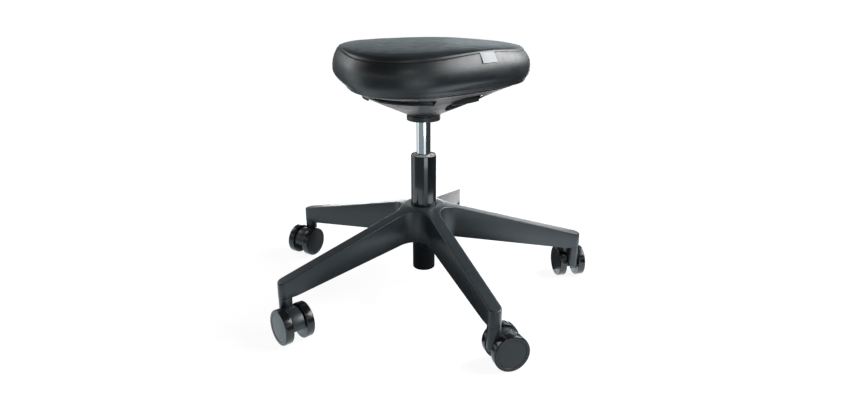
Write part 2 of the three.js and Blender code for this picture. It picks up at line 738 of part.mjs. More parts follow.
/** The outline of one finger recess about +X: slender at its inner end and full at its outer end. */
function recessShape() {
  const inner = ovalQuarter(recessStart - recessWidest, recessHalfWidth, recessInnerPowerShare);
  const outer = ovalQuarter(recessOuterLength, recessHalfWidth, recessOuterPowerShare);
  const edge = [...inner, ...outer.reverse().slice(1)].map(([x, y]) => [recessWidest + x, y]);
  const mirrored = edge.slice(1, -1).reverse().map(([x, y]) => [x, -y]);
  return outline([...edge, ...mirrored]);
}

function underShell() {
  const flat = (value) => () => value;
  const rim = (angle) => seatRadius(angle, shellRimInset);
  const edge = (angle) => Math.min(rim(angle) - shellRimCorner, bowlEdgeRadius);
  const grooveTop = collarBottom + collarHeight + grooveHeight;
  const neck = liftTubeRadius + shellNeckClearance;
  const ledge = socketBottom - fitGap;
  const pocket = socketRadius + fitGap;
  const insideEdge = bowlEdgeZ + shellWall / 2;
  const insideCorner = bowlEdgeZ + (shellRimCorner + shellWall) / 2;
  const rings = [
    seatRing(flat(neck), flat(collarBottom)),
    seatRing(flat(collarRadius), flat(collarBottom)),
    seatRing(flat(collarRadius), flat(collarBottom + collarHeight)),
    seatRing(flat(grooveRadius), flat(collarBottom + collarHeight)),
    seatRing(flat(grooveRadius), flat(grooveTop)),
    seatRing(flat(bowlThroatRadius), flat(bowlThroatZ)),
    seatRing(flat(bowlKneeRadius), flat(bowlKneeZ)),
    seatRing(flat(bowlMidRadius), flat(bowlMidZ)),
    seatRing(edge, flat(bowlEdgeZ)),
    seatRing(rim, flat(bowlEdgeZ + shellRimCorner / 2)),
    seatRing(rim, flat(shellRimTop)),
    seatRing((angle) => rim(angle) - shellWall, flat(shellRimTop)),
    seatRing((angle) => rim(angle) - shellWall, flat(insideCorner)),
    seatRing((angle) => edge(angle) - shellWall, flat(insideEdge)),
    seatRing(flat(bowlMidRadius), flat(bowlMidZ + shellWall)),
    seatRing(flat(bowlKneeRadius), flat(bowlKneeZ + shellWall)),
    seatRing(flat(pocket + shellWall), flat(bowlThroatZ + shellWall)),
    seatRing(flat(pocket), flat(bowlThroatZ + shellWall / 2)),
    seatRing(flat(pocket), flat(ledge)),
    seatRing(flat(neck), flat(ledge)),
  ];
  const betweenLobes = frontLobeAngle + fullTurn / lobeCount / 2;
  const low = collarBottom - cutOverrun;
  const slot = ringSector(slotInner, slotOuter, slotHalfAngle, low, boardBottom);
  const recess = prism(recessShape(), low, boardBottom);
  return loft(rings)
    .subtract(around(slot, lobeCount, frontLobeAngle))
    .subtract(around(recess, lobeCount, betweenLobes));
}

// Cushion

/** Height of the seam between the top panel and the side band. */
const seamZ = (angle) => seamHeight - seamDrop * Math.cos(lobeCount * (angle - frontLobeAngle));

/** The rows of the cushion's outer face, from the middle of the top down and round to the tucked edge. */
function cushionRows() {
  const topShares = [0.35, 0.72];
  const rollShares = [1, 0.62, 0.34, 0.13];
  const upperShares = [0, 0.22, 0.55, 1];
  const lowerShares = [0.35, 0.7, 1];
  const flatStart = seamInset + rollWidth;
  const inner = topShares.map((share) => seatRing(
    (angle) => share * seatRadius(angle, flatStart),
    () => crownHeight - (crownHeight - crownEdgeHeight) * share ** 2,
  ));
  const roll = rollShares.map((share) => seatRing(
    (angle) => seatRadius(angle, seamInset + rollWidth * share),
    (angle) => seamZ(angle) + (crownEdgeHeight - seamZ(angle)) * (1 - (1 - share) ** rollPowerShare),
  ));
  const upper = upperShares.map((share) => seatRing(
    (angle) => seatRadius(angle, seamInset * (1 - share) ** sideUpperPowerShare),
    (angle) => seamZ(angle) + (widestHeight - seamZ(angle)) * share,
  ));
  const lower = lowerShares.map((share) => seatRing(
    (angle) => seatRadius(angle, seatBottomInset * share ** sideLowerPowerShare),
    () => widestHeight + (seatBottom - widestHeight) * share,
  ));
  const tuckHeight = boardBottom - fitGap - coverThickness;
  const folds = [[turnUnderInset, tuckHeight + turnUnderRise], [tuckInset, tuckHeight]];
  const under = folds.map(([inset, height]) => seatRing((angle) => seatRadius(angle, inset), () => height));
  return { top: [...inner, ...roll], side: [...upper, ...lower], under };
}

/** Rows moved inwards along their own normals. */
function movedInwards(rows, distance) {
  return rows.map((row, i) => row.map((point, k) => {
    const sides = row.length;
    const along = row[(k + 1) % sides].clone().sub(row[(k + sides - 1) % sides]);
    const down = rows[Math.min(i + 1, rows.length - 1)][k].clone().sub(rows[Math.max(i - 1, 0)][k]);
    const inwards = along.cross(down).normalize();
    return point.clone().addScaledVector(inwards, distance);
  }));
}

/** A row moved part of the way towards another, by a distance. */
const rowTowards = (row, other, distance) => row.map((point, k) =>
  point.clone().addScaledVector(other[k].clone().sub(point).normalize(), distance));

const cushion = cushionRows();
const coverOuter = [...cushion.top, ...cushion.side, ...cushion.under];
const coverInner = movedInwards(coverOuter, coverThickness);
const foamOuter = movedInwards(coverOuter, coverThickness + fitGap);
const seamRow = cushion.top.length;
const bottomRow = seamRow + cushion.side.length - 1;

/** The top panel, from the middle to the seam. */
function coverTopPanel() {
  const rows = (skin) => [
    ...skin.slice(0, seamRow),
    rowTowards(skin[seamRow], skin[seamRow - 1], fitGap),
  ];
  const middle = new THREE.Vector3(0, 0, crownHeight);
  const inside = new THREE.Vector3(0, 0, crownHeight - coverThickness);
  return loft([...rows(coverOuter), ...rows(coverInner).reverse()], middle, inside);
}

/** The side band, from the seam down and tucked under the board. */
function coverSideBand() {
  return loft([...coverOuter.slice(seamRow), ...coverInner.slice(seamRow).reverse()]);
}

function seatFoam() {
  const rows = foamOuter.slice(0, bottomRow + 1);
  const skinDepth = coverThickness + fitGap;
  const top = new THREE.Vector3(0, 0, crownHeight - skinDepth);
  const bottom = new THREE.Vector3(0, 0, seatBottom + skinDepth);
  const pocketTop = boardBottom + boardThickness + fitGap;
  const pocket = seatPrism(boardInset - fitGap, boardBottom - cutOverrun, pocketTop);
  return loft(rows, top, bottom).subtract(pocket);
}

function seatBoard() {
  const top = boardBottom + boardThickness;
  return seatPrism(boardInset, boardBottom, top).subtract(boltHoles(boardBottom, top));
}

/** A blank fabric tag that hangs from the seam between two lobes and follows the side band. */
function seatTag() {
  const angle = frontLobeAngle + fullTurn / lobeCount / 2;
  const bandRows = (distance) => movedInwards(coverOuter, -distance).slice(seamRow, bottomRow);
  const slab = loft([...bandRows(fitGap), ...bandRows(fitGap + tagThickness).reverse()]);
  const top = seamZ(angle) - tagDrop;
  const window = block(
    [0, -tagWidth / 2, top - tagHeight],
    [seatRadius(angle) + cutOverrun, tagWidth / 2, top],
  );
  return slab.intersect(spun(window, angle));
}

// Casters, each drawn with its swivel axis at the origin and its wheels trailing along +X

const axleHeight = wheelRadius;
const neckBottom = axleHeight - neckDip;

/** A solid of revolution about the wheels' axle; the profile lists [radius, distance from the middle]. */
function onAxle(profile, sides, start = 0) {
  return turned(profile, sides, start).rotate([90, 0, 0]).translate([casterTrail, 0, axleHeight]);
}

/** A rod along the wheels' axle. */
const axleRod = (radius, half) =>
  onAxle([[0, -half], [radius, -half], [radius, half], [0, half]], coarseSides);

/** An outline in the wheels' plane about the axle, raised to a width across it. */
const acrossAxle = (shape, width) =>
  prism(shape, -width / 2, width / 2).rotate([90, 0, 0]).translate([casterTrail, 0, axleHeight]);

/** The hood's outline: a half disc about the axle, with a short skirt under it. */
function hoodShape() {
  const shape = new THREE.Shape();
  shape.absarc(0, 0, hoodRadius, 0, Math.PI, false);
  shape.lineTo(-hoodRadius, -hoodSkirt);
  shape.lineTo(hoodRadius, -hoodSkirt);
  shape.closePath();
  return shape;
}

/** The hollow under the hood's trailing half. */
function hoodHollow() {
  const inside = hoodRadius - hoodWall;
  const low = -hoodSkirt - cutOverrun;
  const shape = new THREE.Shape();
  shape.absarc(0, 0, inside, 0, Math.PI / 2, false);
  shape.lineTo(0, low);
  shape.lineTo(inside, low);
  shape.closePath();
  return shape;
}

/** The neck and the hood between the wheels. */
function casterBody() {
  const neck = ring(0, neckRadius, neckBottom, neckTop, wheelSides);
  const boreEnd = neckTop - stemLowerDepth - fitGap;
  const stemBore = ring(0, stemLowerRadius + fitGap, boreEnd, neckTop + cutOverrun, coarseSides);
  return acrossAxle(hoodShape(), hoodWidth)
    .subtract(acrossAxle(hoodHollow(), hoodWidth - 2 * hoodWall))
    .add(axleRod(bossRadius, hoodWidth / 2))
    .add(neck)
    .subtract(axleRod(axleRadius + fitGap, hoodWidth))
    .subtract(stemBore);
}

/** The steel stem: pressed into the arm above, running in the neck below. */
function casterStem() {
  const top = armTipBottom + stemSocketDepth;
  const bottom = neckTop - stemLowerDepth;
  return turned([[0, bottom], [stemLowerRadius, bottom], [stemLowerRadius, armTipBottom],
    [stemRadius, armTipBottom + fitGap], [stemRadius, top], [0, top]], coarseSides);
}

const casterAxle = () => axleRod(axleRadius, wheelInnerFace + wheelBoreDepth - fitGap);

/** A wheel part's profile turned about the axle, on the side that sign gives, with a flat side down. */
function wheelPart(profile, sign) {
  const mirrored = profile.map(([radius, y]) => [radius, sign * y]);
  return onAxle(mirrored, wheelSides, Math.PI / wheelSides - Math.PI / 2);
}

/** The corner radius of a wheel part whose flats lie at a radius. */
const wheelCorner = (radius) => cornerRadius(radius, wheelSides);

/** One wheel's hard core with its face disc. */
function wheelCore(sign) {
  const facePlane = wheelOuterFace - wheelFaceThickness;
  const boreEnd = wheelInnerFace + wheelBoreDepth;
  const face = wheelCorner(wheelFaceRadius);
  const core = wheelCorner(wheelCoreRadius);
  return wheelPart([
    [0, wheelOuterFace], [face, wheelOuterFace], [face, facePlane], [core, facePlane], [core, wheelInnerFace],
    [axleRadius + fitGap, wheelInnerFace], [axleRadius + fitGap, boreEnd], [0, boreEnd],
  ], sign);
}

/** One wheel's tyre, a ring round the core and behind the face disc's edge. */
function wheelTyre(sign) {
  const inner = wheelCorner(wheelCoreRadius + fitGap);
  const lip = wheelCorner(wheelFaceRadius + fitGap);
  const tread = wheelCorner(wheelRadius);
  const behindFace = wheelOuterFace - wheelFaceThickness - fitGap;
  return wheelPart([
    [inner, wheelInnerFace], [wheelCorner(wheelRadius - tyreInnerBevel), wheelInnerFace],
    [tread, wheelInnerFace + tyreInnerBevel], [tread, wheelOuterFace - tyreBevel],
    [lip, wheelOuterFace - tyreInnerBevel / 2], [lip, behindFace], [inner, behindFace],
  ], sign);
}

/** The meshes of one caster, turned and set under its arm. */
function caster(number, armAngle, trailAngle) {
  const set = new THREE.Group();
  set.add(
    piece(`caster_${number}_body`, casterBody(), anthracite),
    piece(`caster_${number}_stem`, casterStem(), steel),
    piece(`caster_${number}_axle`, casterAxle(), steel),
    piece(`caster_${number}_wheel_left`, wheelCore(1), wheelFace),
    piece(`caster_${number}_wheel_right`, wheelCore(-1), wheelFace),
    piece(`caster_${number}_tyre_left`, wheelTyre(1), tyreGloss),
    piece(`caster_${number}_tyre_right`, wheelTyre(-1), tyreGloss),
  );
  set.position.copy(polar(casterPostRadius, armAngle, 0));
  set.rotation.z = trailAngle;
  return set;
}

// The whole stool about its column axis

const stool = new THREE.Group();
stool.add(
  piece('base_star', spun(baseStar(), firstArmAngle), anthracite),
  piece('column_tube', columnTube(), blackEnamel),
  piece('guide_bushing', guideBushing(), greyNylon),
  piece('thrust_washer_lower', thrustWasher(lowerWasherBottom), steel),
  piece('thrust_washer_upper', thrustWasher(upperWasherBottom), steel),
  piece('bump_stop', ringOnRod(rodRadius, bumpStopRadius, bumpStopBottom, bumpStopHeight), rubber),
  piece('piston_rod', pistonRod(), steel),
  piece('retaining_clip', retainingClip(), steel),
  piece('piston', ringOnRod(rodNeckRadius, gasRadius - fitGap, pistonBottom, pistonLength), greyNylon),
  piece('pressure_tube', pressureTube(), chrome),
  piece('rod_guide', ringOnRod(rodRadius, gasRadius - fitGap, liftTubeEnd, rodGuideLength), greyNylon),
  piece('valve_pin', ring(0, valveRadius, valveBottom, valveTop, coarseSides), steel),
  piece('under_shell', underShell(), shellPlastic),
  piece('seat_carrier', seatCarrier(), steel),
  piece('release_ring', releaseRing(), leverPlastic),
  piece('release_rocker', releaseRocker(), steel),
  piece('rocker_pin', rockerPin(), steel),
  piece('seat_board', seatBoard(), plywood),
  piece('seat_foam', seatFoam(), foamYellow),
  piece('cover_top_panel', coverTopPanel(), leatherette),
  piece('cover_side_band', coverSideBand(), leatherette),
  piece('seat_tag', seatTag(), tagFabric),
);
for (let k = 0; k < lobeCount; k += 1) {
  const angle = frontLobeAngle + (k * fullTurn) / lobeCount;
  stool.add(piece(`board_bolt_${k + 1}`, boardBolt(angle), steel));
}
for (let k = 0; k < armCount; k += 1) {
  stool.add(caster(k + 1, firstArmAngle + (k * fullTurn) / armCount, casterTrailAngles[k]));
}

// The origin is the middle of the footprint, which the swivelled casters put beside the column axis
const footprint = new THREE.Box3().setFromObject(stool).getCenter(new THREE.Vector3());
stool.position.set(-footprint.x, -footprint.y, 0);

const model = new THREE.Group();
model.add(stool);

export default model;
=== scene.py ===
import json
import math

import bmesh
import bpy
import numpy as np
from mathutils import Matrix, Vector
from mathutils.bvhtree import BVHTree


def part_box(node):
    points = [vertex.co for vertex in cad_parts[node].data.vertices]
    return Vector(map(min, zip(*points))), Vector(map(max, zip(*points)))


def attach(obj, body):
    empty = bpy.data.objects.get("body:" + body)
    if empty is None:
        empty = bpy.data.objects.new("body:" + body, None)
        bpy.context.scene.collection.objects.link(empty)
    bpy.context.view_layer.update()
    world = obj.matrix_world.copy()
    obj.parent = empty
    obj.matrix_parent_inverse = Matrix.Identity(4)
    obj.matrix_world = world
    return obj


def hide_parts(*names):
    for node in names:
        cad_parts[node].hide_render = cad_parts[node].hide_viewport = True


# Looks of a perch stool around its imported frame. Names that end in _mm are millimetres, pixels are the
# photograph's, and all that goes to Blender is in metres, in the row frame.

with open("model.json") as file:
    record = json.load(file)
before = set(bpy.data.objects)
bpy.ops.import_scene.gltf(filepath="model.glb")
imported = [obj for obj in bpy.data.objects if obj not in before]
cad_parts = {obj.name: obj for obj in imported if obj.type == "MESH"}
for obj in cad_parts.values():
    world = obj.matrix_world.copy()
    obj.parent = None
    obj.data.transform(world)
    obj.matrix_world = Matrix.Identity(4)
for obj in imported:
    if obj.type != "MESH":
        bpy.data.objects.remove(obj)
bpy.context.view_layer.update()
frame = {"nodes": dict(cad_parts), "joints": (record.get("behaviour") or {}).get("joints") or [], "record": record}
joints = {joint["name"]: joint for joint in frame["joints"]}

MM = 0.001
FULL_TURN = 2 * math.pi
CASTERS = range(1, 6)
SIDES = ("left", "right")


def node_box(name):
    """A CAD node's lowest and highest corners, in millimetres."""
    low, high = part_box(name)
    return low / MM, high / MM


tube_low, tube_high = node_box("column_tube")
axis = Vector(((tube_low.x + tube_high.x) / 2, (tube_low.y + tube_high.y) / 2, 0))
posts = [Vector(joints[f"caster_{n}_swivel"]["pos_m"]) / MM for n in CASTERS]
axles = [Vector(joints[f"caster_{n}_roll_left"]["pos_m"]) / MM for n in CASTERS]


# Meshes


def rounded(corners, steps=6, closed=True):
    """The points of an outline whose corners, given as (x, y, radius), are rounded by arcs."""
    points = []
    count = len(corners)
    for k, (x, y, radius) in enumerate(corners):
        here = Vector((x, y))
        if radius == 0 or (not closed and k in (0, count - 1)):
            points.append(here)
            continue
        back = (Vector(corners[k - 1][:2]) - here).normalized()
        ahead = (Vector(corners[(k + 1) % count][:2]) - here).normalized()
        half = back.angle(ahead) / 2
        centre = here + (back + ahead).normalized() * (radius / math.sin(half))
        start = here + back * (radius / math.tan(half)) - centre
        end = here + ahead * (radius / math.tan(half)) - centre
        sweep = start.angle(end)
        for step in range(steps + 1):
            share = step / steps
            mix = start * math.sin((1 - share) * sweep) + end * math.sin(share * sweep)
            points.append(centre + mix / math.sin(sweep))
    return [(p.x, p.y) for p in points]


def loft_faces(rows, sides, wrap_rows=False):
    """Four-sided faces between rows of as many points, each row closed on itself."""
    faces = []
    for row in range(rows if wrap_rows else rows - 1):
        following = (row + 1) % rows
        for k in range(sides):
            ahead = (k + 1) % sides
            faces.append((row * sides + k, row * sides + ahead, following * sides + ahead, following * sides + k))
    return faces


def turned(profile, sides=96):
    """Points and faces of a closed outline of (radius, height), turned about Z."""
    around = np.arange(sides) * FULL_TURN / sides
    points = [(r * math.cos(a), r * math.sin(a), z) for r, z in profile for a in around]
    return points, loft_faces(len(profile), sides, wrap_rows=True)


def prism(outline, low, high):
    """Points and faces of an outline in the XY plane, raised between two heights."""
    count = len(outline)
    points = [(x, y, z) for z in (low, high) for x, y in outline]
    sides = [(k, (k + 1) % count, count + (k + 1) % count, count + k) for k in range(count)]
    return points, [tuple(reversed(range(count))), tuple(range(count, 2 * count)), *sides]


def joined(*parts):
    """Several sets of points and faces as one."""
    points, faces = [], []
    for part_points, part_faces in parts:
        faces += [tuple(index + len(points) for index in face) for face in part_faces]
        points += list(part_points)
    return points, faces


def moved(part, matrix):
    """A set of points and faces, moved by a matrix."""
    points, faces = part
    return [tuple(matrix @ Vector(p)) for p in points], faces


def spun(part, angle):
    return moved(part, Matrix.Rotation(angle, 4, "Z"))


def beveled(part, width, steps=3, limit=math.radians(30)):
    """The part with its sharp edges rounded."""
    mesh = bmesh_from(part)
    sharp = [e for e in mesh.edges if len(e.link_faces) == 2 and e.calc_face_angle() > limit]
    bmesh.ops.bevel(mesh, geom=sharp, offset=width, segments=steps, profile=0.5, affect="EDGES",
                    clamp_overlap=True)
    points = [tuple(v.co) for v in mesh.verts]
    faces = [tuple(v.index for v in f.verts) for f in mesh.faces]
    mesh.free()
    return points, faces


def bmesh_from(part, weld=1e-4):
    """A bmesh of a part, with its doubled points joined and its faces turned outwards."""
    points, faces = part
    mesh = bmesh.new()
    vertices = [mesh.verts.new(p) for p in points]
    for face in faces:
        mesh.faces.new([vertices[index] for index in face])
    bmesh.ops.remove_doubles(mesh, verts=mesh.verts, dist=weld)
    bmesh.ops.recalc_face_normals(mesh, faces=mesh.faces)
    mesh.verts.index_update()
    return mesh


def place(name, part, slot, body, stands_for=(), at=axis, turn=0.0, sharp=math.radians(35)):
    """An object from a part in millimetres, set at a point and turned about Z, riding on a body."""
    spot = Matrix.Translation((at.x, at.y, 0)) @ Matrix.Rotation(turn, 4, "Z")
    mesh = bmesh_from(moved(part, Matrix.Scale(MM, 4) @ spot), weld=1e-4 * MM)
    data = bpy.data.meshes.new(name)
    mesh.to_mesh(data)
    mesh.free()
    data.shade_smooth()
    data.set_sharp_from_angle(angle=sharp)
    data.materials.append(materials[slot])
    piece = bpy.data.objects.new(name, data)
    bpy.context.scene.collection.objects.link(piece)
    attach(piece, body)
    if stands_for:
        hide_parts(*stands_for)
    return piece


def carved(part, cutter):
    """The part with the cutter's volume taken away."""
    solids = []
    for shape in (part, cutter):
        mesh = bmesh_from(shape)
        data = bpy.data.meshes.new("carving")
        mesh.to_mesh(data)
        mesh.free()
        solid = bpy.data.objects.new("carving", data)
        bpy.context.scene.collection.objects.link(solid)
        solids.append(solid)
    whole, tool = solids
    cut = whole.modifiers.new("cut", "BOOLEAN")
    cut.object = tool
    cut.operation = "DIFFERENCE"
    cut.solver = "EXACT"
    evaluated = whole.evaluated_get(bpy.context.evaluated_depsgraph_get())
    result = bpy.data.meshes.new_from_object(evaluated)
    points = [tuple(v.co) for v in result.vertices]
    faces = [tuple(p.vertices) for p in result.polygons]
    for solid in solids:
        data = solid.data
        bpy.data.objects.remove(solid)
        bpy.data.meshes.remove(data)
    bpy.data.meshes.remove(result)
    return points, faces


# Materials


class Finish:
    """A node material under construction. Patterns lie in the object's own space, in metres."""

    def __init__(self, name, color, roughness, metallic=0.0, **sockets):
        self.material = bpy.data.materials.new(name)
        self.material.use_nodes = True
        self.nodes = self.material.node_tree.nodes
        self.links = self.material.node_tree.links
        self.shader = self.nodes["Principled BSDF"]
        self.color = color
        self.set("Base Color", (*color, 1))
        self.set("Roughness", roughness)
        self.set("Metallic", metallic)
        for socket, value in sockets.items():
            self.set(socket.replace("_", " "), value)
        self.place = self.nodes.new("ShaderNodeTexCoord").outputs["Object"]
        self.heights = None

    def set(self, socket, value):
        self.shader.inputs[socket].default_value = value

    def noise(self, scale, detail=3.0, roughness=0.5, stretch=(1, 1, 1)):
        """A soft noise with about `scale` features per metre."""
        mapping = self.nodes.new("ShaderNodeMapping")
        mapping.inputs["Scale"].default_value = stretch
        self.links.new(self.place, mapping.inputs["Vector"])
        texture = self.nodes.new("ShaderNodeTexNoise")
        texture.inputs["Scale"].default_value = scale
        texture.inputs["Detail"].default_value = detail
        texture.inputs["Roughness"].default_value = roughness
        self.links.new(mapping.outputs["Vector"], texture.inputs["Vector"])
        return texture.outputs["Fac"]

    def cells(self, scale, feature="F1", randomness=1.0):
        """Distance to the nearest point, or to a cell's edge, with about `scale` cells per metre."""
        texture = self.nodes.new("ShaderNodeTexVoronoi")
        texture.feature = feature
        texture.inputs["Scale"].default_value = scale
        texture.inputs["Randomness"].default_value = randomness
        self.links.new(self.place, texture.inputs["Vector"])
        return texture.outputs["Distance"]

    def ranged(self, value, low, high, from_low=0.3, from_high=0.7):
        """A value stretched to run between two numbers."""
        node = self.nodes.new("ShaderNodeMapRange")
        for socket, number in zip(("From Min", "From Max", "To Min", "To Max"), (from_low, from_high, low, high)):
            node.inputs[socket].default_value = number
        self.links.new(value, node.inputs["Value"])
        return node.outputs["Result"]

    def vary_color(self, value, dark_share, light_share):
        """The colour runs between two shares of itself."""
        ramp = self.nodes.new("ShaderNodeValToRGB")
        for element, share in zip(ramp.color_ramp.elements, (dark_share, light_share)):
            element.color = (*(min(channel * share, 1.0) for channel in self.color), 1)
        ramp.color_ramp.elements[0].position = 0.3
        ramp.color_ramp.elements[1].position = 0.7
        self.links.new(value, ramp.inputs["Fac"])
        self.links.new(ramp.outputs["Color"], self.shader.inputs["Base Color"])
        return self

    def vary_roughness(self, value, low, high):
        self.links.new(self.ranged(value, low, high), self.shader.inputs["Roughness"])
        return self

    def bump(self, value, depth_mm, strength=1.0):
        """A relief of a depth, on top of those given before."""
        node = self.nodes.new("ShaderNodeBump")
        node.inputs["Strength"].default_value = strength
        node.inputs["Distance"].default_value = depth_mm * MM
        self.links.new(value, node.inputs["Height"])
        if self.heights:
            self.links.new(self.heights, node.inputs["Normal"])
        self.heights = node.outputs["Normal"]
        self.links.new(self.heights, self.shader.inputs["Normal"])
        return self


def leatherette():
    finish = Finish("leatherette", (0.012, 0.016, 0.019), 0.38, Specular_IOR_Level=0.5)
    finish.vary_color(finish.noise(22, 4), 0.86, 1.14)
    finish.vary_roughness(finish.noise(60, 3), 0.34, 0.43)
    finish.bump(finish.cells(620), 0.10, 0.5)
    finish.bump(finish.noise(1500, 3), 0.05, 0.5)
    return finish.material


def base_plastic():
    finish = Finish("base_plastic", (0.022, 0.028, 0.033), 0.33)
    finish.vary_color(finish.noise(30, 3), 0.93, 1.07)
    finish.vary_roughness(finish.noise(90, 3), 0.3, 0.37)
    finish.bump(finish.noise(1400, 3), 0.06, 0.6)
    return finish.material


def shell_plastic():
    finish = Finish("shell_plastic", (0.028, 0.034, 0.039), 0.4)
    finish.vary_color(finish.noise(30, 3), 0.93, 1.07)
    finish.vary_roughness(finish.noise(80, 3), 0.38, 0.48)
    finish.bump(finish.noise(1200, 3), 0.06, 0.6)
    return finish.material


def lever_plastic():
    finish = Finish("lever_plastic", (0.03, 0.034, 0.038), 0.3)
    finish.vary_roughness(finish.noise(80, 3), 0.26, 0.36)
    finish.bump(finish.noise(900, 2), 0.03, 0.5)
    return finish.material


def black_enamel():
    finish = Finish("black_enamel", (0.008, 0.010, 0.012), 0.14, Coat_Weight=0.5, Coat_Roughness=0.05)
    finish.vary_roughness(finish.noise(40, 3), 0.11, 0.18)
    finish.bump(finish.noise(260, 2), 0.02, 0.4)
    return finish.material


def chrome():
    finish = Finish("chrome", (0.80, 0.82, 0.83), 0.07, 1.0)
    finish.vary_roughness(finish.noise(300, 3, stretch=(1, 1, 0.02)), 0.05, 0.09)
    return finish.material


def steel():
    finish = Finish("steel", (0.45, 0.46, 0.47), 0.38, 1.0)
    finish.vary_roughness(finish.noise(200, 3), 0.32, 0.46)
    finish.vary_color(finish.noise(60, 3), 0.9, 1.1)
    finish.bump(finish.noise(900, 3), 0.02, 0.4)
    return finish.material


def grey_nylon():
    finish = Finish("grey_nylon", (0.40, 0.41, 0.41), 0.4)
    finish.vary_color(finish.noise(120, 3), 0.92, 1.08)
    finish.bump(finish.noise(1200, 2), 0.02, 0.5)
    return finish.material


def black_rubber():
    finish = Finish("black_rubber", (0.02, 0.02, 0.021), 0.75)
    finish.vary_color(finish.noise(90, 3), 0.85, 1.2)
    finish.bump(finish.noise(1500, 3), 0.05, 0.5)
    return finish.material


def tyre_gloss():
    finish = Finish("tyre", (0.006, 0.007, 0.008), 0.16)
    finish.vary_roughness(finish.noise(120, 3), 0.13, 0.24)
    finish.bump(finish.noise(500, 2), 0.015, 0.4)
    return finish.material


def wheel_plastic():
    finish = Finish("wheel_plastic", (0.03, 0.036, 0.04), 0.32)
    finish.vary_roughness(finish.noise(120, 3), 0.28, 0.38)
    finish.bump(finish.noise(1300, 2), 0.03, 0.5)
    return finish.material


def plywood():
    finish = Finish("plywood", (0.49, 0.27, 0.11), 0.6)
    finish.vary_color(finish.noise(14, 5, 0.6, stretch=(1, 9, 1)), 0.75, 1.15)
    finish.bump(finish.noise(60, 4, stretch=(1, 12, 1)), 0.08, 0.6)
    return finish.material


def foam():
    finish = Finish("foam", (0.7, 0.63, 0.42), 0.95)
    finish.vary_color(finish.noise(50, 4), 0.9, 1.05)
    finish.bump(finish.cells(700), 0.3, 0.8)
    return finish.material


def tag_fabric():
    finish = Finish("tag_fabric", (0.40, 0.42, 0.43), 0.62, Sheen_Weight=0.3)
    finish.vary_color(finish.noise(900, 2), 0.8, 1.15)
    finish.bump(finish.cells(1600, randomness=0.4), 0.1, 0.8)
    return finish.material


MAKERS = {
    "leatherette": leatherette, "base_plastic": base_plastic, "shell_plastic": shell_plastic,
    "lever_plastic": lever_plastic, "black_enamel": black_enamel, "chrome": chrome, "steel": steel,
    "grey_nylon": grey_nylon, "black_rubber": black_rubber, "tyre": tyre_gloss,
    "wheel_plastic": wheel_plastic, "plywood": plywood, "foam": foam, "tag_fabric": tag_fabric,
}
materials = {slot: maker() for slot, maker in MAKERS.items()}

for row in frame["record"]["subparts"]:
    cad_node = frame["nodes"][row["node"]]
    cad_node.data.materials.clear()
    cad_node.data.materials.append(materials[row["material_slot"]])


# Star base

arm_count = 5
arm_step = FULL_TURN / arm_count
post_radius_mm = (posts[0] - axis).to_2d().length
first_arm = math.atan2(posts[0].y - axis.y, posts[0].x - axis.x)
star_low, star_high = node_box("base_star")
arm_width_mm = 23
arm_reach_mm = post_radius_mm + 12
arm_fillet_mm = 36
tip_top_mm = 100
tip_bottom_mm = star_low.z
tip_flat_mm = 29
hub_top_mm = star_high.z
hub_bottom_mm = 106
hub_top_radius_mm = 36
hub_bottom_radius_mm = 40
star_top_edge_mm = 2.0
star_bottom_edge_mm = 0.4
bore_mm = 25.3
arm_wall_mm = 3.5
arm_skin_mm = 4.5
rib_mm = 2.5
chamber_start_mm = 62
chamber_end_mm = post_radius_mm - 11.5
chambers = 4


def star_top(radius):
    """Height of the star's upper face at a distance from the column axis."""
    slope = (hub_top_mm - tip_top_mm) / (arm_reach_mm - hub_top_radius_mm)
    return hub_top_mm - slope * max(0.0, radius - hub_top_radius_mm)


def star_bottom(radius):
    """Height of its underside."""
    flat_start = arm_reach_mm - tip_flat_mm
    share = (flat_start - radius) / (flat_start - hub_bottom_radius_mm)
    return tip_bottom_mm + (hub_bottom_mm - tip_bottom_mm) * min(1.0, max(0.0, share))


arc_steps = 16
side_steps = 26
tip_steps = 16


def star_outline(inset):
    """The star's plan, drawn in by an inset; the fillets' arcs open and close each arm's stretch."""
    half = arm_width_mm / 2 - inset
    tip_centre = arm_reach_mm - arm_width_mm / 2
    fillet_distance = (arm_width_mm / 2 + arm_fillet_mm) / math.sin(arm_step / 2)
    radius = arm_fillet_mm + inset
    points = []
    for k in range(arm_count):
        arm = k * arm_step
        cos, sin = math.cos(arm), math.sin(arm)
        before = (fillet_distance * math.cos(arm_step / 2), -fillet_distance * math.sin(arm_step / 2))
        stretch = []
        for step in range(arc_steps + 1):
            angle = math.pi - arm_step / 2 - (math.pi / 2 - arm_step / 2) * step / arc_steps
            stretch.append((before[0] + radius * math.cos(angle), before[1] + radius * math.sin(angle)))
        for step in range(1, side_steps):
            x = before[0] + (tip_centre - before[0]) * step / side_steps
            stretch.append((x, -half))
        for step in range(tip_steps // 2 + 1):
            angle = -math.pi / 2 + math.pi / 2 * step / (tip_steps // 2)
            stretch.append((tip_centre + half * math.cos(angle), half * math.sin(angle)))
        stretch += [(x, -y) for x, y in reversed(stretch[:-1])]
        points += [(x * cos - y * sin, x * sin + y * cos) for x, y in stretch]
    return points


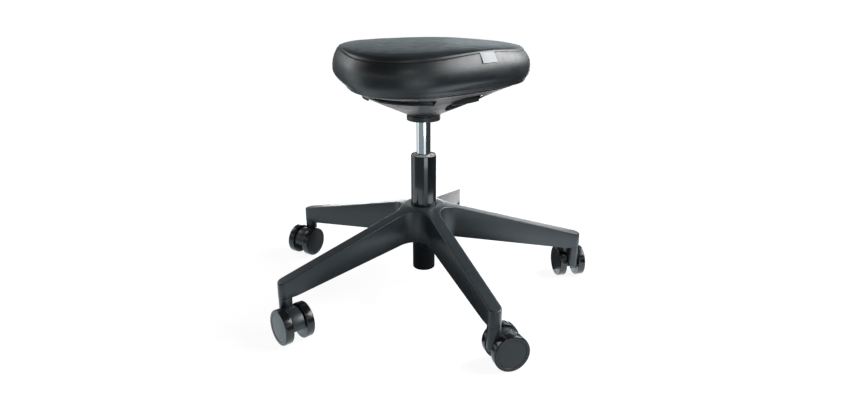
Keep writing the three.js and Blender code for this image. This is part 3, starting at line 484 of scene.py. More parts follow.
def star_rows():
    """Rows from the middle of the underside round the wall to the middle of the top."""
    closing = arm_width_mm / 2 - 0.01
    rows = []
    for inset in (closing, 8, 4):
        rows.append([(x, y, star_bottom(math.hypot(x, y))) for x, y in star_outline(inset)])
    for share in (1, 0.6, 0.3, 0.1, 0):
        inset = star_bottom_edge_mm * share
        rise = star_bottom_edge_mm * (1 - math.sqrt(1 - (1 - share) ** 2))
        rows.append([(x, y, star_bottom(math.hypot(x, y)) + rise) for x, y in star_outline(inset)])
    for share in (0, 0.1, 0.3, 0.6, 1):
        inset = star_top_edge_mm * share
        drop = star_top_edge_mm * (1 - math.sqrt(1 - (1 - share) ** 2))
        rows.append([(x, y, star_top(math.hypot(x, y)) - drop) for x, y in star_outline(inset)])
    for inset in (4, 8, closing):
        rows.append([(x, y, star_top(math.hypot(x, y))) for x, y in star_outline(inset)])
    return rows


def star_shape():
    """The star as one closed skin with its bore."""
    rows = star_rows()
    sides = len(rows[0])
    outer = ([p for row in rows for p in row], loft_faces(len(rows), sides))
    per_arm = sides // arm_count
    arcs = [k * per_arm + step for k in range(arm_count)
            for step in [*range(arc_steps + 1), *range(per_arm - arc_steps - 1, per_arm)]]

    def hub_skin(row, height):
        """Rows from the fillets' arcs in to the bore."""
        shares = (0, 0.2, 0.4, 0.6, 0.8, 0.95, 1)
        skin = []
        for share in shares:
            for index in arcs:
                x, y, z = row[index]
                radius = math.hypot(x, y)
                new_radius = radius + (bore_mm - radius) * share
                near_bore = max(0.0, 1 - (new_radius - bore_mm) / 1.0)
                skin.append((x * new_radius / radius, y * new_radius / radius,
                             z if share == 0 else height(new_radius, near_bore)))
        return skin, loft_faces(len(shares), len(arcs))

    top = hub_skin(rows[-1], lambda radius, near: star_top(radius) - 0.8 * near ** 2)
    bottom = hub_skin(rows[0], lambda radius, near: star_bottom(radius))
    count = len(arcs)
    top_bore, bottom_bore = top[0][-count:], bottom[0][-count:]
    bore = (bottom_bore + top_bore, loft_faces(2, count))
    mesh = bmesh_from(joined(outer, top, bottom, bore), weld=0.05)
    bmesh.ops.dissolve_degenerate(mesh, dist=0.001, edges=mesh.edges)
    mesh.verts.index_update()
    points = [tuple(v.co) for v in mesh.verts]
    faces = [tuple(v.index for v in f.verts) for f in mesh.faces]
    mesh.free()
    return points, faces


def arm_channels():
    """The open chambers between the ribs under each arm."""
    half = arm_width_mm / 2 - arm_wall_mm
    pitch = (chamber_end_mm - chamber_start_mm + rib_mm) / chambers
    low = tip_bottom_mm - 5
    parts = []
    for k in range(chambers):
        start = chamber_start_mm + k * pitch
        end = start + pitch - rib_mm
        points = [(x, y, low) for x, y in ((start, -half), (end, -half), (end, half), (start, half))]
        points += [(x, y, star_top(x) - arm_skin_mm) for x, y, _ in points]
        box = (points, [(3, 2, 1, 0), (4, 5, 6, 7), (0, 1, 5, 4), (1, 2, 6, 5), (2, 3, 7, 6), (3, 0, 4, 7)])
        parts.append(beveled(box, 1.2, 2))
    one_arm = joined(*parts)
    return joined(*(spun(one_arm, k * arm_step) for k in range(arm_count)))


star = carved(star_shape(), arm_channels())
place("star_base", star, "base_plastic", "base", ["base_star"], turn=first_arm)


# Column

tube_outer_mm = 25
tube_wall_mm = 2
tube_lower_mm = 22
tube_taper_mm = 23.4
lift_mm = 14
lift_tip_mm = 13
bushing_low, bushing_high = node_box("guide_bushing")
lift_low, lift_high = node_box("pressure_tube")


def column_tube():
    inner = tube_outer_mm - tube_wall_mm
    return turned(rounded([
        (tube_lower_mm, tube_low.z, 1.8), (tube_lower_mm, hub_bottom_mm - 3.3, 0.5),
        (tube_taper_mm, hub_bottom_mm - 0.3, 0.3), (tube_outer_mm, hub_top_mm, 0),
        (tube_outer_mm, tube_high.z, 1.3), (inner, tube_high.z, 0.65),
        (inner, bushing_low.z, 0), (tube_lower_mm - tube_wall_mm, bushing_low.z - 3, 0),
        (tube_lower_mm - tube_wall_mm, tube_low.z, 0.6),
    ]), 128)


def guide_bushing():
    inner = lift_mm + 0.3
    outer = tube_outer_mm - tube_wall_mm - 0.3
    return turned(rounded([
        (inner, bushing_low.z, 0), (outer, bushing_low.z, 0), (outer, bushing_high.z - 0.6, 0.5),
        (outer - 1.8, bushing_high.z, 0.3), (inner + 1.6, bushing_high.z, 0.3),
        (inner, bushing_high.z - 1.4, 0.3),
    ]), 128)


def pressure_tube():
    return turned(rounded([
        (lift_mm - 2, lift_low.z, 0), (lift_mm, lift_low.z, 0.8), (lift_mm, 352, 0),
        (lift_tip_mm, lift_high.z, 0.5), (4.5, lift_high.z, 0.3), (4.5, 330, 0), (lift_mm - 2, 330, 0),
    ]), 128)


place("lift_outer_tube", column_tube(), "black_enamel", "base", ["column_tube"])
place("lift_guide_sleeve", guide_bushing(), "grey_nylon", "base", ["guide_bushing"])
place("lift_chrome_tube", pressure_tube(), "chrome", "seat", ["pressure_tube"])


# Seat outline

lobe_count = 3
front_lobe = -math.pi / 2
seat_mean_mm = 184.6
seat_lobe_mm = 18.2
seat_crease_mm = 1.9
seat_sides = 288
seat_angles = np.arange(seat_sides) * FULL_TURN / seat_sides
lobe_waves = np.cos(lobe_count * (seat_angles - front_lobe))
between_lobes = front_lobe + FULL_TURN / lobe_count / 2


def seat_radius(inset=0.0):
    """The seat's widest plan radius at each angle, drawn in by an inset."""
    crease = seat_crease_mm * np.cos(2 * lobe_count * (seat_angles - front_lobe))
    return seat_mean_mm + seat_lobe_mm * lobe_waves + crease - inset


def seat_row(radius, height):
    """A row of points round the seat."""
    radius = np.broadcast_to(radius, seat_sides)
    height = np.broadcast_to(height, seat_sides)
    return np.stack([radius * np.cos(seat_angles), radius * np.sin(seat_angles), height], axis=1)


# Under shell

collar_mm = 32.3
collar_low_mm = 340
collar_high_mm = 349.5
groove_mm = 29.5
groove_high_mm = 353
throat_mm = (37.5, 354)
bowl_knots_mm = (throat_mm, (82, 374), (115.5, 389.5), (158, 408))
shell_wall_mm = 2.6
shell_rim_inset_mm = 26
shell_rim_top_mm = 412
shell_rim_corner_mm = 2
shell_neck_mm = 15.4
shell_pocket_mm = 19.3
shell_ledge_mm = 351.7
slot_inner_mm = 108
slot_outer_mm = 140
slot_half_angle = math.radians(27)
recess_start_mm = 65
recess_widest_mm = 115
recess_end_mm = 131.8
recess_half_mm = 36.5
recess_power_shares = (1.6, 2.1)


def bowl_height(radius):
    """Height of the bowl's outer face at a radius."""
    return np.interp(radius, [r for r, z in bowl_knots_mm], [z for r, z in bowl_knots_mm])


def shell_shape():
    """The bowl under the seat with its collar, before its openings are cut."""
    rim = seat_radius(shell_rim_inset_mm)
    edge = np.minimum(rim - shell_rim_corner_mm, bowl_knots_mm[-1][0])
    lower = rounded([
        (shell_neck_mm, collar_low_mm, 0), (collar_mm, collar_low_mm, 1.2), (collar_mm, collar_high_mm, 0.7),
        (groove_mm, collar_high_mm, 0.4), (groove_mm, groove_high_mm, 1.0), (*throat_mm, 1.2),
        (82, bowl_height(82), 0),
    ], closed=False)[:-1]
    rows = [seat_row(r, z) for r, z in lower]
    throat_end = lower[-1][0]
    middle_mm, edge_height = bowl_knots_mm[2][0], bowl_knots_mm[-1][1]

    def face_height(radius):
        """Height of the outer face, which meets the rim at one height all round."""
        lift = (edge_height - bowl_height(edge)) * np.clip((radius - middle_mm) / (edge - middle_mm), 0, 1)
        return bowl_height(radius) + lift

    for share in np.linspace(0.06, 1, 22):
        radius = throat_end + (edge - throat_end) * share
        rows.append(seat_row(radius, face_height(radius)))
    for share in (0.25, 0.5, 0.75):
        rows.append(seat_row(edge + (rim - edge) * share, edge_height + 0.5 * share))
    rows.append(seat_row(rim - 0.3, edge_height + 0.9))
    rows.append(seat_row(rim, edge_height + 1.4))
    rows.append(seat_row(rim, shell_rim_top_mm - 0.3))
    rows.append(seat_row(rim - 0.3, shell_rim_top_mm))
    rows.append(seat_row(rim - shell_wall_mm, shell_rim_top_mm))
    inner_edge = edge - shell_wall_mm
    rows.append(seat_row(rim - shell_wall_mm, edge_height + 2.3))
    for share in np.linspace(1, 0.02, 12):
        radius = shell_pocket_mm + shell_wall_mm + (inner_edge - shell_pocket_mm - shell_wall_mm) * share
        rows.append(seat_row(radius, face_height(radius) + shell_wall_mm))
    rows.append(seat_row(shell_pocket_mm, throat_mm[1] + shell_wall_mm / 2))
    rows.append(seat_row(shell_pocket_mm, shell_ledge_mm))
    rows.append(seat_row(shell_neck_mm, shell_ledge_mm))
    return [tuple(p) for row in rows for p in row], loft_faces(len(rows), seat_sides, wrap_rows=True)


def sector(inner, outer, half_angle, low, high, corner=0.0, steps=24):
    """A sector of a ring about +X, between two heights, with rounded corners."""
    angles = np.linspace(-half_angle, half_angle, steps + 1)
    arc = [(math.cos(a), math.sin(a)) for a in angles]
    outline = [(inner * c, inner * s, 0) for c, s in reversed(arc)] + [(outer * c, outer * s, 0) for c, s in arc]
    corners = {0, steps, steps + 1, 2 * steps + 1}
    outline = [(x, y, corner if k in corners else 0) for k, (x, y, _) in enumerate(outline)]
    return prism(rounded(outline, 5) if corner else [p[:2] for p in outline], low, high)


def recess_outline():
    """The plan of one finger recess about +X: slender at its inner end and full at its outer end."""
    steps = 20
    edge = []
    for k in range(2 * steps + 1):
        angle = math.pi / 2 * k / steps
        power = recess_power_shares[k > steps]
        ahead, aside = abs(math.cos(angle)) ** (2 / power), abs(math.sin(angle)) ** (2 / power)
        reach = recess_end_mm - recess_widest_mm if k > steps else recess_start_mm - recess_widest_mm
        edge.append((recess_widest_mm + reach * ahead, recess_half_mm * aside))
    return [*edge, *((x, -y) for x, y in reversed(edge[1:-1]))]


def shell_openings():
    low, high = collar_high_mm, shell_rim_top_mm + 0.3
    slot = sector(slot_inner_mm, slot_outer_mm, slot_half_angle, low, high, corner=2.0)
    recess = prism(recess_outline(), low, high)
    step = FULL_TURN / lobe_count
    return joined(*(spun(slot, front_lobe + k * step) for k in range(lobe_count)),
                  *(spun(recess, between_lobes + k * step) for k in range(lobe_count)))


shell = carved(shell_shape(), shell_openings())
place("under_seat_shell", shell, "shell_plastic", "seat", ["under_shell"])


# Release ring

ring_low, ring_high = node_box("release_ring")
hoop_low_mm = 388.2
hoop_high_mm = 392.7
hoop_inner_mm = 100
hoop_outer_mm = 105
ring_hub_inner_mm = 19.3
ring_hub_mm = 46
spoke_mm = 12
paddle_inner_mm = 112.5
paddle_outer_mm = 116
paddle_half_angle = math.radians(17.2)
paddle_web_high_mm = 391.7


def block(low, high):
    (x0, y0, z0), (x1, y1, z1) = low, high
    return prism([(x0, y0), (x1, y0), (x1, y1), (x0, y1)], z0, z1)


def release_ring():
    def flat_ring(inner, outer, edge):
        return turned(rounded([
            (inner, hoop_low_mm, edge), (outer, hoop_low_mm, edge),
            (outer, hoop_high_mm, edge), (inner, hoop_high_mm, edge),
        ], 4), 144)

    spoke = block((ring_hub_mm - 2.5, -spoke_mm / 2, hoop_low_mm), (hoop_inner_mm + 2.5, spoke_mm / 2, hoop_high_mm))
    web = sector(hoop_outer_mm - 2.5, paddle_inner_mm + 1.7, paddle_half_angle, hoop_low_mm, paddle_web_high_mm)
    paddle = sector(paddle_inner_mm, paddle_outer_mm, paddle_half_angle, ring_low.z, ring_high.z)
    arm = joined(beveled(spoke, 0.8), beveled(web, 0.6), beveled(paddle, 1.1, 4))
    step = FULL_TURN / lobe_count
    arms = [spun(arm, between_lobes + k * step) for k in range(lobe_count)]
    return joined(flat_ring(hoop_inner_mm, hoop_outer_mm, 1.0),
                  flat_ring(ring_hub_inner_mm, ring_hub_mm, 0.8), *arms)


place("release_ring_moulding", release_ring(), "lever_plastic", "ring", ["release_ring"])


# Cushion

seam_inset_mm = 12.2
seam_height_mm = 474.8 - 5.1 * lobe_waves
widest_height_mm = 444
cushion_bottom_mm = 418.7
cushion_bottom_inset_mm = 12 - 5.25 * lobe_waves
upper_power_share = 1.86
lower_power_share = 2.67
crown_edge_mm = 483.7 - 2.2 * lobe_waves
crown_mm = 487
roll_width_mm = 34
roll_corner_mm = 10
roll_corner_share = 0.68
roll_power_share = 0.7
turn_steps_mm = ((1.2, 2.6), (2.6, 4.6), (4.2, 6), (6, 6.6))  # inset and drop from the cushion's bottom
tuck_inset_mm = 24.6
tuck_height_mm = 412.1
tuck_thickness_mm = 0.6
slack_mm = 0.5  # how much smaller the cover starts, for the cloth to fill
swell_limit_mm = 1.5
groove_depth_mm = 1.7
groove_width_mm = 1.6


def cushion_rows():
    """Rows of the cover from the middle of the top down to its tucked edge, and the seam row's number."""
    rows = []
    flat = seat_radius(seam_inset_mm + roll_width_mm)
    for share in np.linspace(0.03, 1, 34)[:-1]:
        rows.append(seat_row(flat * share, crown_mm - (crown_mm - crown_edge_mm) * share ** 2 - slack_mm))
    for share in (1, 0.85, 0.7, 0.58, 0.47, 0.38, 0.3, 0.24, 0.19, 0.15, 0.115, 0.085, 0.06, 0.038, 0.018, 0):
        corner = 1 - (1 - min(1, roll_width_mm * share / roll_corner_mm)) ** 2
        rise = roll_corner_share * corner ** roll_power_share + (1 - roll_corner_share) * (1 - (1 - share) ** 2)
        ease = slack_mm * min(1, share / 0.2)
        height = seam_height_mm + (crown_edge_mm - seam_height_mm) * rise - ease
        rows.append(seat_row(seat_radius(seam_inset_mm + roll_width_mm * share), height))
    seam = len(rows) - 1
    for share in (0.025, 0.055, 0.09, 0.14, 0.2, 0.28, 0.38, 0.5, 0.62, 0.75, 0.88, 1):
        inset = seam_inset_mm * (1 - share) ** upper_power_share + slack_mm * min(1, share / 0.2)
        rows.append(seat_row(seat_radius(inset), seam_height_mm + (widest_height_mm - seam_height_mm) * share))
    for share in (0.14, 0.28, 0.42, 0.56, 0.7, 0.82, 0.92, 1):
        inset = cushion_bottom_inset_mm * share ** lower_power_share + slack_mm * (1 - share)
        rows.append(seat_row(seat_radius(inset), widest_height_mm + (cushion_bottom_mm - widest_height_mm) * share))
    pinned_from = len(rows) - 1
    for inset, drop in turn_steps_mm:
        rows.append(seat_row(seat_radius(cushion_bottom_inset_mm + inset), cushion_bottom_mm - drop))
    for inset, height in ((tuck_inset_mm - 0.3, tuck_height_mm), (tuck_inset_mm, tuck_height_mm + 0.3),
                          (tuck_inset_mm, tuck_height_mm + tuck_thickness_mm)):
        rows.append(seat_row(seat_radius(inset), height))
    rows.append(seat_row(seat_radius(60), tuck_height_mm + tuck_thickness_mm))
    return np.array(rows), seam, pinned_from


def cushion_faces(row_count):
    """Faces of the rows, with a fan over the middle of the top and of the underside."""
    faces = loft_faces(row_count, seat_sides)
    top, bottom = row_count * seat_sides, row_count * seat_sides + 1
    last = (row_count - 1) * seat_sides
    for k in range(seat_sides):
        ahead = (k + 1) % seat_sides
        faces.append((top, ahead, k))
        faces.append((bottom, last + k, last + ahead))
    return faces


def fill_with_cloth(points, faces, pinned):
    """The points after a pressure-filled cloth has settled."""
    data = bpy.data.meshes.new("cloth")
    data.from_pydata([tuple(p) for p in points], [], [tuple(reversed(face)) for face in faces])
    cloth_object = bpy.data.objects.new("cloth", data)
    bpy.context.scene.collection.objects.link(cloth_object)
    group = cloth_object.vertex_groups.new(name="pinned")
    group.add([int(index) for index in pinned], 1.0, "REPLACE")
    cloth = cloth_object.modifiers.new("cloth", "CLOTH")
    cloth.settings.quality = 5
    cloth.settings.mass = 0.3
    cloth.settings.tension_stiffness = 15
    cloth.settings.compression_stiffness = 15
    cloth.settings.shear_stiffness = 8
    cloth.settings.bending_stiffness = 2
    cloth.settings.use_pressure = True
    cloth.settings.uniform_pressure_force = 4
    cloth.settings.vertex_group_mass = "pinned"
    cloth.settings.effector_weights.gravity = 0
    cloth.collision_settings.use_collision = False
    scene = bpy.context.scene
    for number in range(1, 21):
        scene.frame_set(number)
    evaluated = cloth_object.evaluated_get(bpy.context.evaluated_depsgraph_get())
    settled = np.zeros(len(points) * 3)
    evaluated.data.vertices.foreach_get("co", settled)
    scene.frame_set(1)
    bpy.data.objects.remove(cloth_object)
    bpy.data.meshes.remove(data)
    return settled.reshape(-1, 3)


def inward_normals(grid):
    """Unit vectors into the cushion at each point of its rows."""
    down = np.gradient(grid, axis=0)
    around = np.roll(grid, -1, axis=1) - np.roll(grid, 1, axis=1)
    normals = np.cross(around, down)
    return normals / np.maximum(np.linalg.norm(normals, axis=2, keepdims=True), 1e-9)


def evened(values, held, rounds=12):
    """Values over the rows, smoothed in place with the held rows left alone."""
    for _ in range(rounds):
        padded = np.pad(values, ((1, 1), (0, 0)), mode="edge")
        around = (np.roll(values, 1, axis=1) + np.roll(values, -1, axis=1)) / 2
        smooth = (padded[:-2] + padded[2:]) / 4 + around / 2
        smooth[held] = values[held]
        values = smooth
    return values


def cushion():
    rows, seam, pinned_from = cushion_rows()
    row_count = len(rows)
    middle = np.array([[0, 0, crown_mm - slack_mm], [0, 0, tuck_height_mm + tuck_thickness_mm]])
    points = np.vstack([rows.reshape(-1, 3), middle])
    faces = cushion_faces(row_count)
    grid = points[:-2].reshape(row_count, seat_sides, 3)
    fixed = [seam, *range(pinned_from, row_count)]
    pinned = [row * seat_sides + k for row in fixed for k in range(seat_sides)]
    pinned.append(len(points) - 1)
    settled = fill_with_cloth(points * MM, faces, pinned) / MM
    inward = inward_normals(grid)
    swell = -np.sum((settled[:-2].reshape(grid.shape) - grid) * inward, axis=2)
    swell = evened(swell_limit_mm * np.tanh(swell / swell_limit_mm), fixed)
    grid = grid - inward * swell[..., None]
    points[-2, 2] = grid[0, :, 2].mean()
    along = np.linalg.norm(grid - grid[seam], axis=2)
    depth = groove_depth_mm * np.exp(-(along / groove_width_mm) ** 2)
    grid = grid + inward_normals(grid) * depth[..., None]
    points = np.vstack([grid.reshape(-1, 3), points[-2:]])
    return [tuple(p) for p in points], faces


seat = place("seat_cushion", cushion(), "leatherette", "seat",
             ["cover_top_panel", "cover_side_band", "seat_foam"], sharp=math.radians(80))

board_low, board_high = node_box("seat_board")


def seat_board():
    """The board under the foam, inside the cover all round."""
    insets = cushion_bottom_inset_mm + 4.5
    rows = [seat_row(seat_radius(insets + edge), height) for edge, height in (
        (0.8, board_low.z), (0, board_low.z + 0.8), (0, board_high.z - 0.8), (0.8, board_high.z))]
    points, faces = np.vstack(rows), loft_faces(len(rows), seat_sides)
    under = tuple(reversed(range(seat_sides)))
    upper = tuple(range(3 * seat_sides, 4 * seat_sides))
    return [tuple(p) for p in points], [*faces, under, upper]


place("plywood_board", seat_board(), "plywood", "seat", ["seat_board"])


# Blank tag at the seam

tag_width_mm = 35
tag_height_mm = 17
tag_thickness_mm = 0.9


def tag_shape(surface):
    """A strip that hangs from the seam between two lobes and follows the cushion."""
    waist_seam_mm = seam_height_mm.max()
    columns, lines = 24, 14
    outer = Vector((math.cos(between_lobes), math.sin(between_lobes), 0))
    side = Vector((-outer.y, outer.x, 0))
    inner_face, outer_face = [], []
    for line in range(lines + 1):
        for column in range(columns + 1):
            across = (column / columns - 0.5) * tag_width_mm
            height = waist_seam_mm - 0.6 - tag_height_mm * line / lines
            start = axis + outer * 300 + side * across + Vector((0, 0, height))
            place_mm = surface.ray_cast(start * MM, -outer)[0] / MM - axis
            lift = 0.25 + 0.7 * (line / lines) ** 2 + 0.25 * math.sin(6 * column / columns)
            inner_face.append(place_mm + outer * lift)
            outer_face.append(place_mm + outer * (lift + tag_thickness_mm))
    count = columns + 1
    faces = []
    base = len(inner_face)
    for line in range(lines):
        for column in range(columns):
            a = line * count + column
            quad = (a, a + 1, a + count + 1, a + count)
            faces += [quad, tuple(base + index for index in reversed(quad))]
    rim = [line * count for line in range(lines)] + [lines * count + c for c in range(columns)]
    rim += [line * count + columns for line in range(lines, 0, -1)] + list(range(columns, 0, -1))
    for here, ahead in zip(rim, rim[1:] + rim[:1]):
        faces.append((here, ahead, base + ahead, base + here))
    return [tuple(p) for p in inner_face + outer_face], faces


seat_surface = BVHTree.FromPolygons([seat.matrix_world @ v.co for v in seat.data.vertices],
                                    [tuple(p.vertices) for p in seat.data.polygons])
place("blank_tag", tag_shape(seat_surface), "tag_fabric", "seat", ["seat_tag"])


# Casters

wheel_mm = 30.8
axle_height_mm = axles[0].z
trail_mm = (axles[0] - posts[0]).to_2d().length
hood_mm = 27
hood_width_mm = 22.6
hood_skirt_mm = 2
hood_wall_mm = 3
neck_mm = 11.45
neck_low_mm = 28
neck_high_mm = 71.7
wheel_inner_mm = 12.2
wheel_outer_mm = 26.8
face_mm = 28.3
core_mm = 26


def about_axle(profile, side, sides=96):
    """An outline of (radius, distance from the middle) turned about the wheels' axle."""
    angles = np.arange(sides) * FULL_TURN / sides
    points = [(trail_mm + r * math.cos(a), side * y, axle_height_mm + r * math.sin(a))
              for r, y in profile for a in angles]
    return points, loft_faces(len(profile), sides, wrap_rows=True)


def wheel_tyre(side):
    return about_axle(rounded([
        (core_mm + 0.3, wheel_inner_mm, 0), (wheel_mm, wheel_inner_mm, 1.3), (wheel_mm, wheel_outer_mm, 2.4),
        (face_mm + 0.3, wheel_outer_mm, 0.4), (face_mm + 0.3, wheel_outer_mm - 1.9, 0),
        (core_mm + 0.3, wheel_outer_mm - 1.9, 0),
    ]), side)


def wheel_core(side):
    groove = 24.2
    return about_axle(rounded([
        (0.01, wheel_outer_mm - 0.5, 0), (groove - 0.5, wheel_outer_mm - 0.5, 0.3), (groove, wheel_outer_mm - 1.1, 0.2),
        (groove + 0.5, wheel_outer_mm, 0.3), (face_mm, wheel_outer_mm, 0.5), (face_mm, wheel_outer_mm - 1.6, 0),
        (core_mm, wheel_outer_mm - 1.6, 0), (core_mm, wheel_inner_mm, 0.4), (3.3, wheel_inner_mm, 0.3),
        (3.3, wheel_inner_mm + 12, 0), (0.01, wheel_inner_mm + 12, 0),
    ]), side)


def caster_body():
    """The neck and the hood between the wheels."""
    def half_disc(radius, skirt, sweep, steps=40):
        arc = [(radius * math.cos(sweep * k / steps), radius * math.sin(sweep * k / steps))
               for k in range(steps + 1)]
        return [*arc, (arc[-1][0], -skirt), (radius, -skirt)]

    def across(outline, width):
        upright = Matrix.Translation((trail_mm, 0, axle_height_mm)) @ Matrix.Rotation(math.pi / 2, 4, "X")
        return moved(prism(outline, -width / 2, width / 2), upright)

    hood = beveled(across(half_disc(hood_mm, hood_skirt_mm, math.pi), hood_width_mm), 1.4, 4)
    hollow = across(half_disc(hood_mm - hood_wall_mm, hood_skirt_mm + 4, math.pi / 2),
                    hood_width_mm - 2 * hood_wall_mm)
    neck = turned(rounded([
        (0.01, neck_low_mm, 0), (neck_mm, neck_low_mm, 4.5), (neck_mm, neck_high_mm, 0.15), (0.01, neck_high_mm, 0),
    ]), 72)
    return joined(carved(hood, hollow), neck)


for number, post, axle in zip(CASTERS, posts, axles):
    heading = math.atan2(axle.y - post.y, axle.x - post.x)
    prefix = f"caster_{number}"
    spot = {"at": post, "turn": heading}
    place(f"{prefix}_hood", caster_body(), "base_plastic", prefix, [f"{prefix}_body"], **spot)
    for side_name, side in zip(SIDES, (-1, 1)):
        body = f"{prefix}_{side_name}"
        place(f"{body}_tread", wheel_tyre(side), "tyre", body, [f"{prefix}_tyre_{side_name}"], **spot)
        place(f"{body}_disc", wheel_core(side), "wheel_plastic", body,
              [f"{prefix}_wheel_{side_name}"], **spot)


# Camera, at the viewpoint fitted to the photograph

camera_distance_mm = 1129.25
camera_height_mm = 579.79
camera_pitch = math.radians(14.89)
camera_yaw = math.radians(0.33)
view_turn = math.radians(17.6)
photo_width_px, photo_height_px = 854, 410
focal_px = 604.28
centre_y_px = 150
film_width_mm = 36


def view_matrix():
    """The camera's place and directions in the row frame."""
    turn = Matrix.Rotation(view_turn, 3, "Z")
    spot = turn @ Vector((0, -camera_distance_mm, camera_height_mm)) + axis
    ahead = turn @ Vector((math.sin(camera_yaw) * math.cos(camera_pitch),
                           math.cos(camera_yaw) * math.cos(camera_pitch), -math.sin(camera_pitch)))
    right = ahead.cross(Vector((0, 0, 1))).normalized()
    matrix = Matrix((right, right.cross(ahead), -ahead)).transposed().to_4x4()
    matrix.translation = spot * MM
    return matrix


camera = bpy.data.objects.new("camera", bpy.data.cameras.new("camera"))
bpy.context.scene.collection.objects.link(camera)
camera.matrix_world = view_matrix()
camera.data.sensor_width = film_width_mm
camera.data.lens = focal_px * film_width_mm / photo_width_px
camera.data.shift_y = -(photo_height_px / 2 - centre_y_px) / photo_width_px
camera.data.clip_start = 0.05
bpy.context.scene.camera = camera


# Light, floor and background


def seen_directly(nodes, links):
    """A value that is one for camera, glossy and transmission rays."""
    path = nodes.new("ShaderNodeLightPath")
    total = path.outputs["Is Camera Ray"]
    for name in ("Is Glossy Ray", "Is Transmission Ray"):
        node = nodes.new("ShaderNodeMath")
        node.operation = "MAXIMUM"
        links.new(total, node.inputs[0])
        links.new(path.outputs[name], node.inputs[1])
        total = node.outputs["Value"]
    return total


def studio_world(ambient=0.1, background=1.0):
    world = bpy.data.worlds.new("studio")
    world.use_nodes = True
    nodes, links = world.node_tree.nodes, world.node_tree.links
    lighting = nodes["Background"]
    lighting.inputs["Color"].default_value = (1, 1, 1, 1)
    lighting.inputs["Strength"].default_value = ambient
    backdrop = nodes.new("ShaderNodeBackground")
    backdrop.inputs["Color"].default_value = (1, 1, 1, 1)
    backdrop.inputs["Strength"].default_value = background
    mix = nodes.new("ShaderNodeMixShader")
    links.new(seen_directly(nodes, links), mix.inputs["Fac"])
    links.new(lighting.outputs["Background"], mix.inputs[1])
    links.new(backdrop.outputs["Background"], mix.inputs[2])
    links.new(mix.outputs["Shader"], nodes["World Output"].inputs["Surface"])
    bpy.context.scene.world = world


def floor_material(painted_shade_glow=0.92, painted_shade_radii=(0.4, 0.95), paint_color=0.18):
    """White, with enough of its own light towards the camera to meet the white background; that glow is dimmer near the
    stool, a painted shade around it under which the stool's real shadow shows.
    """
    material = bpy.data.materials.new("floor")
    material.use_nodes = True
    nodes, links = material.node_tree.nodes, material.node_tree.links
    nodes.remove(nodes["Principled BSDF"])
    paint = nodes.new("ShaderNodeBsdfDiffuse")
    paint.inputs["Color"].default_value = (paint_color, paint_color, paint_color, 1)
    glow = nodes.new("ShaderNodeEmission")
    distance = nodes.new("ShaderNodeVectorMath")
    distance.operation = "LENGTH"
    links.new(nodes.new("ShaderNodeTexCoord").outputs["Object"], distance.inputs[0])
    # Painted shade: the floor's own light is dimmer near the stool and reaches full white further out.
    fade = nodes.new("ShaderNodeMapRange")
    fade.interpolation_type = "SMOOTHSTEP"
    for socket, number in zip(("From Min", "From Max", "To Min", "To Max"), (*painted_shade_radii, painted_shade_glow, 1)):
        fade.inputs[socket].default_value = number
    links.new(distance.outputs["Value"], fade.inputs["Value"])
    links.new(fade.outputs["Result"], glow.inputs["Strength"])
    both = nodes.new("ShaderNodeAddShader")
    links.new(paint.outputs["BSDF"], both.inputs[0])
    links.new(glow.outputs["Emission"], both.inputs[1])
    mix = nodes.new("ShaderNodeMixShader")
    links.new(seen_directly(nodes, links), mix.inputs["Fac"])
    links.new(paint.outputs["BSDF"], mix.inputs[1])
    links.new(both.outputs["Shader"], mix.inputs[2])
    links.new(mix.outputs["Shader"], nodes["Material Output"].inputs["Surface"])
    return material


def floor():
    radius, sides = 6.0, 96
    data = bpy.data.meshes.new("floor")
    ring = [(radius * math.cos(k * FULL_TURN / sides), radius * math.sin(k * FULL_TURN / sides), 0)
            for k in range(sides)]
    data.from_pydata(ring, [], [tuple(range(sides))])
    data.materials.append(floor_material())
    piece = bpy.data.objects.new("floor", data)
    bpy.context.scene.collection.objects.link(piece)


def toward(azimuth, distance, height):
    """A point in metres, its azimuth counted to the right of the camera as seen from the stool."""
    angle = view_turn - math.pi / 2 + math.radians(azimuth)
    return axis * MM + Vector((distance * math.cos(angle), distance * math.sin(angle), height))


def softbox(name, azimuth, distance, height, size, radiance, aim_height=0.3):
    """A rectangular light that faces the stool."""
    light = bpy.data.lights.new(name, "AREA")
    light.shape = "RECTANGLE"
    light.size, light.size_y = size
    light.energy = radiance * math.pi * size[0] * size[1]
    piece = bpy.data.objects.new(name, light)
    bpy.context.scene.collection.objects.link(piece)
    spot = toward(azimuth, distance, height)
    aim = axis * MM + Vector((0, 0, aim_height))
    piece.matrix_world = Matrix.Translation(spot) @ (aim - spot).to_track_quat("-Z", "Y").to_matrix().to_4x4()
    piece.visible_camera = False


def painted_reflection_card(name, azimuths, radii, heights, radiance, tint=(0.88, 1.0, 1.06), steps=24):
    """A grey or bright glowing sheet that only reflections show, a painted reflection: a strip between a lower and an
    upper arc.
    """
    material = bpy.data.materials.new(name)
    material.use_nodes = True
    nodes, links = material.node_tree.nodes, material.node_tree.links
    nodes.remove(nodes["Principled BSDF"])
    glow = nodes.new("ShaderNodeEmission")
    glow.inputs["Color"].default_value = (*tint, 1)
    glow.inputs["Strength"].default_value = radiance
    links.new(glow.outputs["Emission"], nodes["Material Output"].inputs["Surface"])
    points, faces = [], []
    for step in range(steps + 1):
        azimuth = azimuths[0] + (azimuths[1] - azimuths[0]) * step / steps
        points += [toward(azimuth, radius, height) for radius, height in zip(radii, heights)]
    for step in range(steps):
        faces.append((2 * step, 2 * step + 1, 2 * step + 3, 2 * step + 2))
    data = bpy.data.meshes.new(name)
    data.from_pydata(points, [], faces)
    data.materials.append(material)
    piece = bpy.data.objects.new(name, data)
    bpy.context.scene.collection.objects.link(piece)
    piece.visible_camera = False
    piece.visible_diffuse = False
    piece.visible_shadow = False


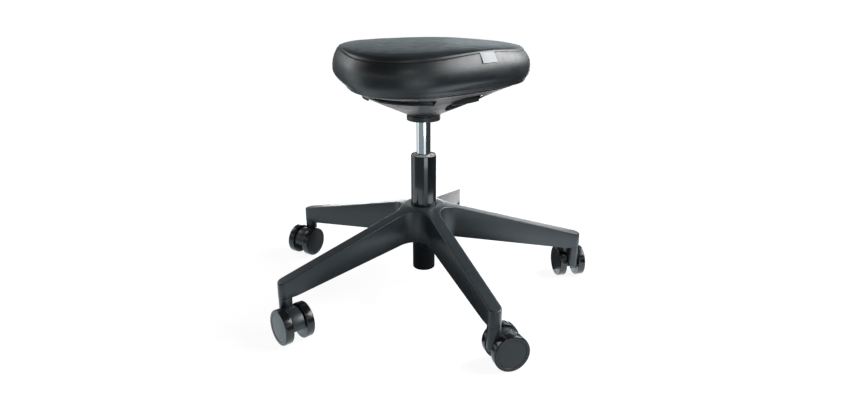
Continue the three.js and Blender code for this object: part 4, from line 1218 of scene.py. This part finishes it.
studio_world()
floor()
softbox("right_light", 94, 1.3, 1.15, (1.6, 0.9), 10.0)
softbox("left_light", -120, 1.5, 0.9, (0.6, 0.9), 2.8)
softbox("front_light", 6, 1.3, 1.3, (0.4, 0.4), 3.4)
# Painted reflections: glowing sheets that only reflections show. They stand in for bright and dark surroundings and for
# lit patches of floor.
# Painted shadow: a dark sheet under the stool, seen only in reflections.
painted_reflection_card("painted_shadow_under_stool", (-180, 180), (0.01, 0.24), (0.003, 0.003), 0.05, steps=72)
painted_reflection_card("bright_floor", (-15, 40), (0.24, 0.6), (0.003, 0.003), 0.9)
painted_reflection_card("bright_floor_near", (-15, 4), (0.6, 0.7), (0.003, 0.003), 0.7)
painted_reflection_card("bright_floor_right", (40, 74), (0.24, 0.6), (0.003, 0.003), 2.4)
painted_reflection_card("bright_floor_front", (4, 35), (0.6, 1.3), (0.003, 0.003), 1.0)
painted_reflection_card("bright_floor_far", (4, 35), (1.3, 1.6), (0.003, 0.003), 4.0)
painted_reflection_card("bright_floor_side", (74, 100), (0.24, 0.6), (0.003, 0.003), 2.0)
painted_reflection_card("grey_floor", (-84, -15), (0.24, 0.7), (0.003, 0.003), 1.3)
painted_reflection_card("grey_floor_far", (-84, 4), (0.7, 1.6), (0.003, 0.003), 0.3)
painted_reflection_card("light_floor", (-118, -84), (0.24, 1.6), (0.003, 0.003), 1.1)
painted_reflection_card("dark_floor_left", (-150, -118), (0.24, 1.6), (0.003, 0.003), 0.12)
painted_reflection_card("dark_floor_right", (100, 150), (0.24, 0.6), (0.003, 0.003), 0.05)
painted_reflection_card("dark_floor_far_right", (35, 150), (0.6, 1.6), (0.003, 0.003), 0.05)
painted_reflection_card("pale_floor_rear", (150, 195), (0.24, 1.6), (0.003, 0.003), 2.0, tint=(1.0, 1.0, 1.0))
painted_reflection_card("dark_wall_right", (35, 150), (1.6, 1.6), (0.003, 0.6), 0.05)
painted_reflection_card("pale_wall_rear_low", (150, 200), (1.6, 1.6), (0.003, 0.34), 6.5, tint=(1.0, 1.0, 1.0))
painted_reflection_card("dark_wall_rear", (150, 200), (1.6, 1.6), (0.34, 0.6), 0.1)
painted_reflection_card("pale_wall_rear_high", (140, 176), (1.6, 1.6), (0.6, 0.95), 1.9)
painted_reflection_card("grey_wall_rear_high", (176, 200), (1.6, 1.6), (0.6, 0.95), 1.1)
painted_reflection_card("dark_wall_left", (-160, -118), (1.6, 1.6), (0.003, 0.6), 0.1)
painted_reflection_card("grey_wall_left", (-160, -118), (1.6, 1.6), (0.6, 0.95), 0.3)
painted_reflection_card("light_wall_left", (-118, -84), (1.6, 1.6), (0.003, 0.6), 1.4)
painted_reflection_card("grey_wall_front", (-84, 4), (1.6, 1.6), (0.003, 0.6), 0.3)
painted_reflection_card("bright_wall_front", (4, 35), (1.6, 1.6), (0.003, 0.14), 4.0)
painted_reflection_card("dark_upper_wall", (-180, 180), (1.6, 1.6), (0.95, 1.9), 0.12, steps=72)
painted_reflection_card("dark_ceiling", (-180, 180), (0.01, 1.6), (1.9, 1.9), 0.08, steps=72)

bpy.context.scene.view_settings.view_transform = "Standard"
bpy.context.view_layer.update()
